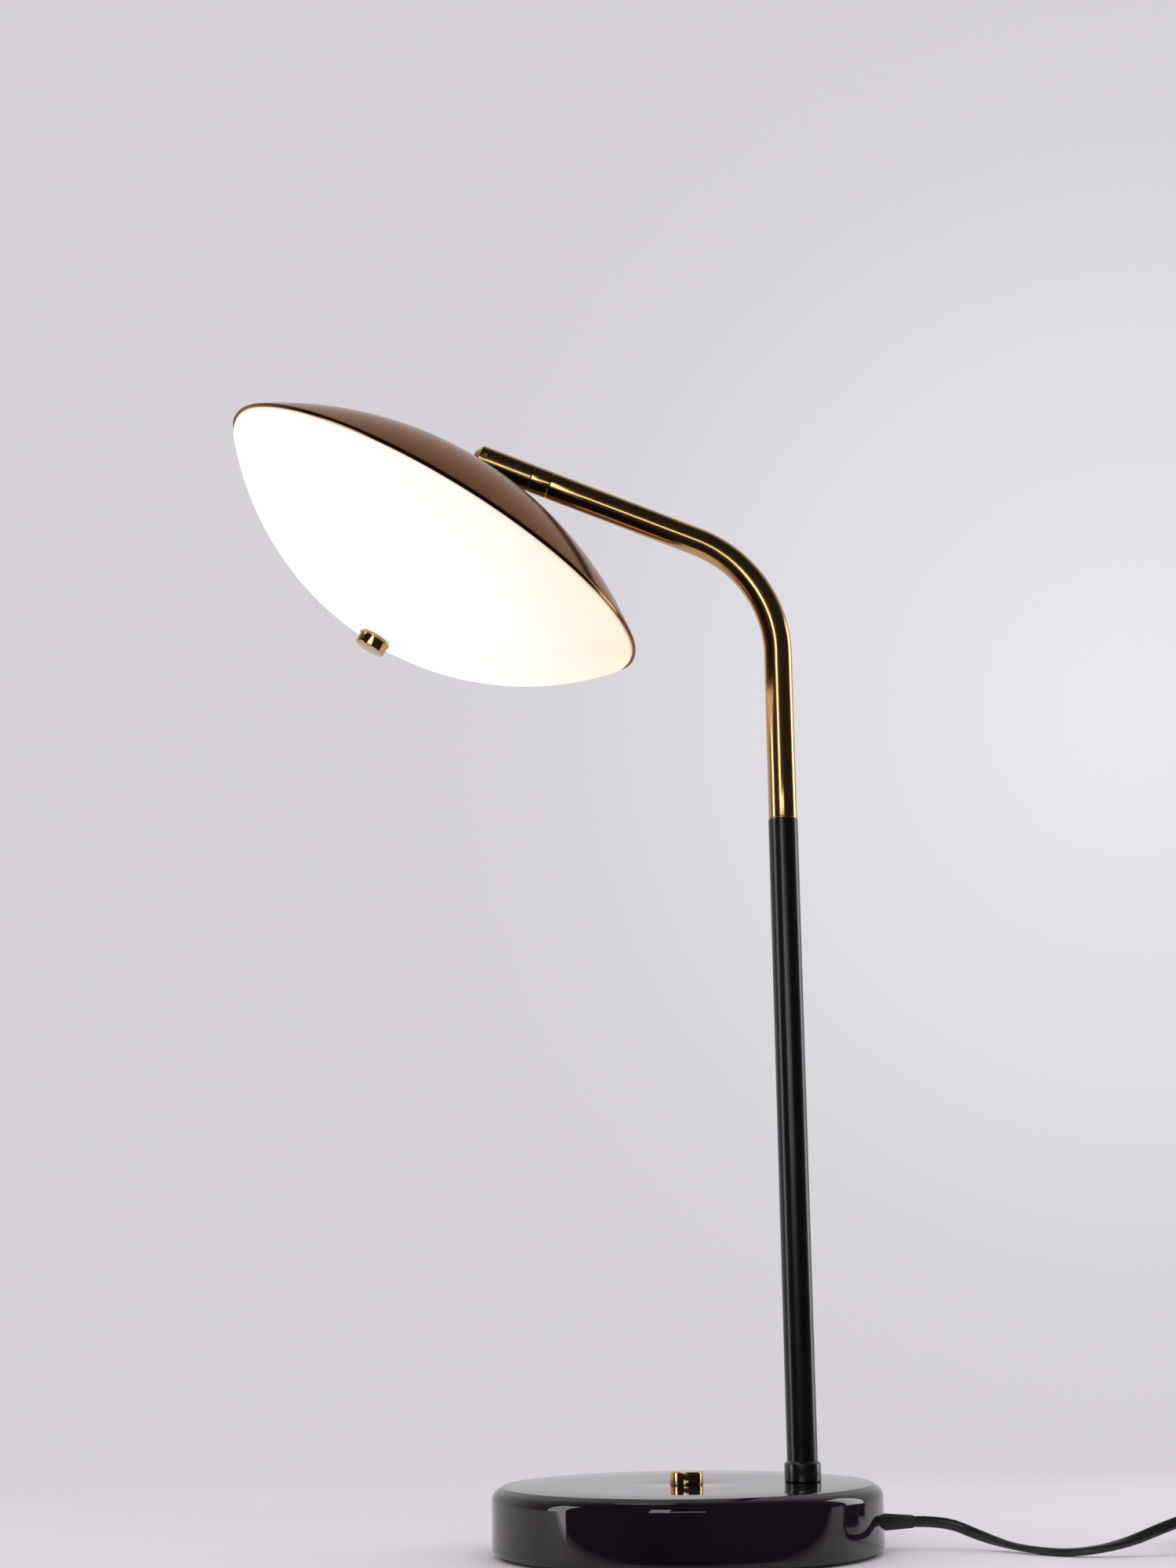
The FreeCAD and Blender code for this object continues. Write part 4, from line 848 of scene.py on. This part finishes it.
def makeArm(settings):
    bm = bmesh.new()
    foot = Matrix.Translation((settings["across"], 0, settings["seam"]))
    bmesh.ops.create_circle(bm, segments=settings["sides"], radius=settings["radius"], matrix=foot)
    steps = settings["straightSteps"]
    upright = Vector((0, 0, settings["bendStart"] - settings["seam"]))
    ringEdges = bm.edges[:]
    for part in range(steps):
        ringEdges = extendRing(bm, ringEdges, Matrix.Translation(upright / steps))
    middle = (settings["across"] - settings["bendRadius"], 0, settings["bendStart"])
    ringVerts = list({vert for edge in ringEdges for vert in edge.verts})
    spun = bmesh.ops.spin(bm, geom=ringVerts + ringEdges, cent=middle, axis=(0, 1, 0),
                          angle=-math.radians(90 - settings["rise"]), steps=settings["bendSteps"])
    ringEdges = [part for part in spun["geom_last"] if isEdge(part)]
    frameOut = armFrame(settings)
    way = frameOut.to_3x3() @ Vector((0, 0, 1))
    for part in range(steps):
        ringEdges = extendRing(bm, ringEdges, Matrix.Translation(way * settings["reach"] / steps))
    cleanShape(bm)
    closeEnds(bm)
    softenEdges(bm, sharpEdges(bm, 40), settings["endSoft"])
    markDrawnWay(bm, settings)
    finishPiece(bm, "armTube", "drawnBrass", "arm", ["arm_tube"])

    radius = settings["radius"]
    start = settings["reach"]
    end = settings["ringEnd"]
    startEdge, endEdge = settings["ringEdges"]
    bm = turnProfile((0, start), [
        (radius - startEdge, start),
        (radius, start + startEdge),
        (radius, (start + end) / 2),
        (radius, end - endEdge),
        (radius - endEdge, end),
        (0, end),
    ], settings["sides"])
    softenEdges(bm, sharpEdges(bm, 25), settings["ringSoft"], 2)
    moveShape(bm, frameOut)
    markDrawnWay(bm, settings)
    finishPiece(bm, "swivelRing", "drawnBrass", "arm", ["swivel_ring"])


makeArm(armSettings)


def makeKnuckle(settings):
    bm = copyOfNode("knuckle")
    markDrawnWay(bm, settings)
    finishPiece(bm, "knuckleJoint", "drawnBrass", "swivel", ["knuckle"], 24)


makeKnuckle(armSettings)
print("arm bent, ring and knuckle added")

# The head: a shallow bronze dome closed below by an opal glass bowl, with a brass finial.
headSettings = {
    "rim": (-116.9, 0.0, 482.55),
    "tilt": 30.4,
    "capRadius": 181.78,
    "capCentre": -139.28,
    "radius": 115.0,
    "wall": 1.2,
    "rimEdge": 0.25,
    "shadeSoft": 0.35,
    "shadeSteps": 44,
    "shankHole": 4.03,
    "glassRadius": 113.5,
    "glassTop": 0.7,
    "glassCap": 147.85,
    "glassCentre": 92.55,
    "glassWall": 3.0,
    "glassHole": 3.2,
    "glassShoulder": 1.81,
    "glassSteps": 48,
    "sides": 240,
}


def headFrame(settings):
    return Matrix.Translation(settings["rim"]) @ Matrix.Rotation(math.radians(settings["tilt"]), 4, "Y")


def capAngle(across, radius):
    return math.degrees(math.asin(across / radius))


def capHeight(across, radius):
    return math.sqrt(radius * radius - across * across)


def makeShade(settings):
    outer = settings["capRadius"]
    inner = outer - settings["wall"]
    centre = settings["capCentre"]
    radius = settings["radius"]
    innerRadius = radius - settings["wall"]
    hole = settings["shankHole"]
    edge = settings["rimEdge"]
    steps = settings["shadeSteps"]
    bm = turnProfile((hole, centre + capHeight(hole, outer)), [
        (0, centre, capAngle(radius, outer) - capAngle(hole, outer), steps),
        (radius, edge),
        (radius - edge, 0),
        (innerRadius + edge, 0),
        (innerRadius, edge),
        (innerRadius, centre + capHeight(innerRadius, inner)),
        (0, centre, capAngle(hole, inner) - capAngle(innerRadius, inner), steps),
        (hole, centre + capHeight(hole, outer)),
    ], settings["sides"])
    # Only the outer edge where the cap meets its upright rim is rounded.
    bends = [bend for bend in sharpEdges(bm, 30) if bend.verts[0].co.z > settings["wall"]]
    bends = [bend for bend in bends if bend.verts[0].co.xy.length > radius - 0.5]
    softenEdges(bm, bends, settings["shadeSoft"])
    moveShape(bm, headFrame(settings))
    finishPiece(bm, "domeShade", "shadeLacquer", "head", ["shade_shell"])


def makeGlass(settings):
    outer = settings["glassCap"]
    inner = outer - settings["glassWall"]
    centre = settings["glassCentre"]
    radius = settings["glassRadius"]
    innerRadius = radius - settings["glassWall"]
    hole = settings["glassHole"]
    steps = settings["glassSteps"]
    bm = turnProfile((hole, centre - capHeight(hole, outer)), [
        (0, centre, capAngle(hole, outer) - capAngle(radius, outer), steps),
        (radius, settings["glassTop"]),
        (innerRadius, settings["glassTop"]),
        (innerRadius, centre - capHeight(innerRadius, inner)),
        (0, centre, capAngle(innerRadius, inner) - capAngle(hole, inner), steps),
        (hole, centre - capHeight(hole, outer)),
    ], settings["sides"])
    shoulder = [
        edge for edge in sharpEdges(bm, 30)
        if all(vert.co.z < 0 and vert.co.xy.length > radius - 0.1 for vert in edge.verts)
    ]
    softenEdges(bm, shoulder, settings["glassShoulder"], 10)
    moveShape(bm, headFrame(settings))
    finishPiece(bm, "opalBowl", "opalGlass", "head", ["opal_diffuser"])


finialSettings = {
    "seat": -55.8,
    "foot": -61.8,
    "rimRadius": 8.2,
    "rimHeight": 1.1,
    "rimEdge": 0.15,
    "radius": 7.7,
    "chamfer": 0.4,
    "soft": 0.1,
    "sides": 96,
}


def makeFinial(settings, head):
    seat = settings["seat"]
    rimFoot = seat - settings["rimHeight"]
    rimRadius = settings["rimRadius"]
    edge = settings["rimEdge"]
    radius = settings["radius"]
    bm = turnProfile((0, seat), [
        (rimRadius - edge, seat),
        (rimRadius, seat - edge),
        (rimRadius, rimFoot + edge),
        (rimRadius - edge, rimFoot),
        (radius, rimFoot),
        (radius, settings["foot"] + settings["chamfer"]),
        (radius - settings["chamfer"], settings["foot"]),
        (0, settings["foot"]),
    ], settings["sides"])
    softenEdges(bm, sharpEdges(bm, 40), settings["soft"], 2)
    moveShape(bm, headFrame(head))
    finishPiece(bm, "finialCap", "finialBrass", "head", ["finial"])


makeShade(headSettings)
makeGlass(headSettings)
makeFinial(finialSettings, headSettings)
print("shade, glass and finial made")


def makeStem():
    bm = copyOfNode("shade_stem")
    finishPiece(bm, "shadeStem", "plainBrass", "head", ["shade_stem"], 24)


makeStem()

# The CAD nodes that stay get their finish in their own slots.
nodeFinishes = {
    "castIron": ["base_weight"],
    "zincSteel": ["bottom_cover", "cover_screws", "button_spring", "stem_nipple", "nipple_washer",
                  "nipple_nut", "swivel_stud", "spring_washer", "stud_nut", "gallery_ring",
                  "shell_washer", "stem_nuts", "finial_rod"],
    "softRubber": ["foot_ring", "strain_relief", "glass_gasket", "finial_gasket"],
    "whiteCase": ["switch_module", "driver_case", "terminal_block"],
    "plainBrass": ["post_bush", "seam_washer", "turning_sleeve", "arm_bush", "pivot_pin"],
    "plugPlastic": ["plug_body"],
    "nickelPins": ["plug_pins"],
    "cordSheath": ["mains_lead"],
    "leadSheath": ["post_lead", "arm_lead", "head_lead"],
    "bearingPlastic": ["thrust_washer", "pivot_washers"],
    "bareAluminium": ["light_carrier"],
    "solderMask": ["light_board"],
    "chipPhosphor": ["light_chips"],
}
for finishName, nodeNames in nodeFinishes.items():
    for nodeName in nodeNames:
        for place in nodes[nodeName].material_slots:
            place.material = finishes[finishName]
print("CAD nodes finished")


# The table: a pale round top that fades into the background.
tableSettings = {
    "centre": (0.05, 0.0),
    "radius": 0.95,
    "fadeFrom": 0.62,
    "fadeTo": 0.93,
    "backEdge": (0.34, 0.46),
    "frontEdge": (-0.085, -0.11),    # what polished things beside it mirror ends here
    "colour": colour(0.88, 0.845, 0.88),
    "rough": 0.6,
    "sides": 96,
}


def fadeOn(tree, source, start, end):
    fade = addNode(tree, "ShaderNodeMapRange", {"From Min": start, "From Max": end},
                   interpolation_type="SMOOTHSTEP")
    wire(tree, *source, fade, "Value")
    return fade, "Result"


def makeTable(settings):
    bm = bmesh.new()
    centre = (*settings["centre"], 0)
    bmesh.ops.create_circle(bm, cap_ends=True, segments=settings["sides"], radius=settings["radius"],
                            matrix=Matrix.Translation(centre))
    mesh = bpy.data.meshes.new("table")
    bm.to_mesh(mesh)
    bm.free()
    table = bpy.data.objects.new("table", mesh)
    lampScene.collection.objects.link(table)
    material, tree, shader = newFinish("tableTop", {
        "Roughness": settings["rough"],
        "Base Color": settings["colour"],
    })
    point = surfacePoint(tree, centre)
    far = addNode(tree, "ShaderNodeVectorMath", operation="LENGTH")
    wire(tree, *point, far, 0)
    fade = fadeOn(tree, (far, "Value"), settings["fadeFrom"], settings["fadeTo"])
    parts = addNode(tree, "ShaderNodeSeparateXYZ")
    wire(tree, *point, parts, "Vector")
    back = spread(tree, (parts, "Y"), 0.0, 1.0, *settings["backEdge"])
    front = spread(tree, (parts, "Y"), 0.0, 1.0, *settings["frontEdge"])
    rays = addNode(tree, "ShaderNodeLightPath")
    mirrored = addNode(tree, "ShaderNodeMath", operation="MULTIPLY")
    wire(tree, rays, "Is Glossy Ray", mirrored, 0)
    wire(tree, *front, mirrored, 1)
    sides = addNode(tree, "ShaderNodeMath", operation="MAXIMUM")
    wire(tree, *fade, sides, 0)
    wire(tree, *back, sides, 1)
    gone = addNode(tree, "ShaderNodeMath", operation="MAXIMUM")
    wire(tree, sides, "Value", gone, 0)
    wire(tree, mirrored, "Value", gone, 1)
    clear = addNode(tree, "ShaderNodeBsdfTransparent")
    mix = addNode(tree, "ShaderNodeMixShader")
    wire(tree, gone, "Value", mix, 0)
    wire(tree, shader, "BSDF", mix, 1)
    wire(tree, clear, "BSDF", mix, 2)
    wire(tree, mix, "Shader", tree.nodes["Material Output"], "Surface")
    mesh.materials.append(material)


makeTable(tableSettings)

# The room: pale behind the lamp, dark behind the camera, as the metal shows it.
roomSettings = {
    # The first two tones are the backdrop away from and inside a painted pool of light round glowWay.
    "left": colour(0.665, 0.640, 0.680),
    "right": colour(0.815, 0.795, 0.835),
    "ambient": colour(0.50, 0.49, 0.51),
    "glowWay": (0.271, 0.9355, 0.226),
    "glowReach": 0.30,
    "mirrorPale": colour(0.66, 0.64, 0.67),
    "mirrorDark": colour(0.018, 0.016, 0.018),
    "mirrorDeep": (-0.1, 0.75),
}


def makeRoom(settings):
    world = bpy.data.worlds.new("studioRoom")
    lampScene.world = world
    world.use_nodes = True
    tree = world.node_tree
    tree.nodes.clear()
    output = addNode(tree, "ShaderNodeOutputWorld")
    coordinates = addNode(tree, "ShaderNodeTexCoord")
    parts = addNode(tree, "ShaderNodeSeparateXYZ")
    wire(tree, coordinates, "Generated", parts, "Vector")
    rays = addNode(tree, "ShaderNodeLightPath")

    # Camera rays see a painted backdrop: a painted pool of light makes it brighter round glowWay and
    # dimmer away from it.
    away = addNode(tree, "ShaderNodeVectorMath", operation="DISTANCE")
    wire(tree, coordinates, "Generated", away, 0)
    away.inputs[1].default_value = settings["glowWay"]
    across = fadeOn(tree, (away, "Value"), settings["glowReach"], 0.0)
    seen = mixColours(tree, across, settings["left"], settings["right"])
    seenLight = addNode(tree, "ShaderNodeBackground")
    wire(tree, *seen, seenLight, "Color")

    deep = fadeOn(tree, (parts, "Y"), *settings["mirrorDeep"])
    mirrored = mixColours(tree, deep, settings["mirrorDark"], settings["mirrorPale"])
    mirrorLight = addNode(tree, "ShaderNodeBackground")
    wire(tree, *mirrored, mirrorLight, "Color")

    ambient = addNode(tree, "ShaderNodeBackground", {"Color": settings["ambient"]})
    glossy = addNode(tree, "ShaderNodeMixShader")
    wire(tree, rays, "Is Glossy Ray", glossy, 0)
    wire(tree, ambient, "Background", glossy, 1)
    wire(tree, mirrorLight, "Background", glossy, 2)
    through = addNode(tree, "ShaderNodeMath", operation="MAXIMUM")
    wire(tree, rays, "Is Camera Ray", through, 0)
    wire(tree, rays, "Is Transmission Ray", through, 1)
    final = addNode(tree, "ShaderNodeMixShader")
    wire(tree, through, "Value", final, 0)
    wire(tree, glossy, "Shader", final, 1)
    wire(tree, seenLight, "Background", final, 2)
    wire(tree, final, "Shader", output, "Surface")


makeRoom(roomSettings)

# Studio lights: azimuth 0 is beside the camera, 90 is at +X; brightness is what a mirror shows.
lightTarget = Vector((0, 0, 0.3))
lightSettings = [
    {"name": "stripLeft", "azimuth": -84, "height": 0.45, "distance": 1.5, "size": (0.36, 1.3),
     "brightness": 3.6, "mirrored": True},
    {"name": "stripRight", "azimuth": 106, "height": 0.45, "distance": 1.5, "size": (0.50, 1.3),
     "brightness": 3.6, "mirrored": True},
    {"name": "frontBox", "azimuth": -21, "height": 0.60, "distance": 1.4, "size": (0.28, 0.7),
     "brightness": 3.6, "mirrored": True},
    {"name": "lowBox", "azimuth": -6, "height": 0.375, "distance": 1.42, "size": (0.56, 0.17),
     "brightness": 3.0, "mirrored": True},
    {"name": "topFill", "azimuth": 0, "height": 1.8, "distance": 0.25, "size": (1.5, 1.5),
     "brightness": 1.25, "mirrored": False},
]


def makeLight(settings):
    data = bpy.data.lights.new(settings["name"], "AREA")
    data.shape = "RECTANGLE"
    data.size, data.size_y = settings["size"]
    data.energy = settings["brightness"] * math.pi * data.size * data.size_y
    light = bpy.data.objects.new(settings["name"], data)
    angle = math.radians(settings["azimuth"])
    place = Vector((math.sin(angle), -math.cos(angle), 0)) * settings["distance"]
    place.z = settings["height"]
    light.location = place
    light.rotation_mode = "QUATERNION"
    light.rotation_quaternion = (lightTarget - place).to_track_quat("-Z", "Y")
    light.visible_camera = False
    light.visible_glossy = settings["mirrored"]
    lampScene.collection.objects.link(light)


for lightRow in lightSettings:
    makeLight(lightRow)
print("table, room and lights set")
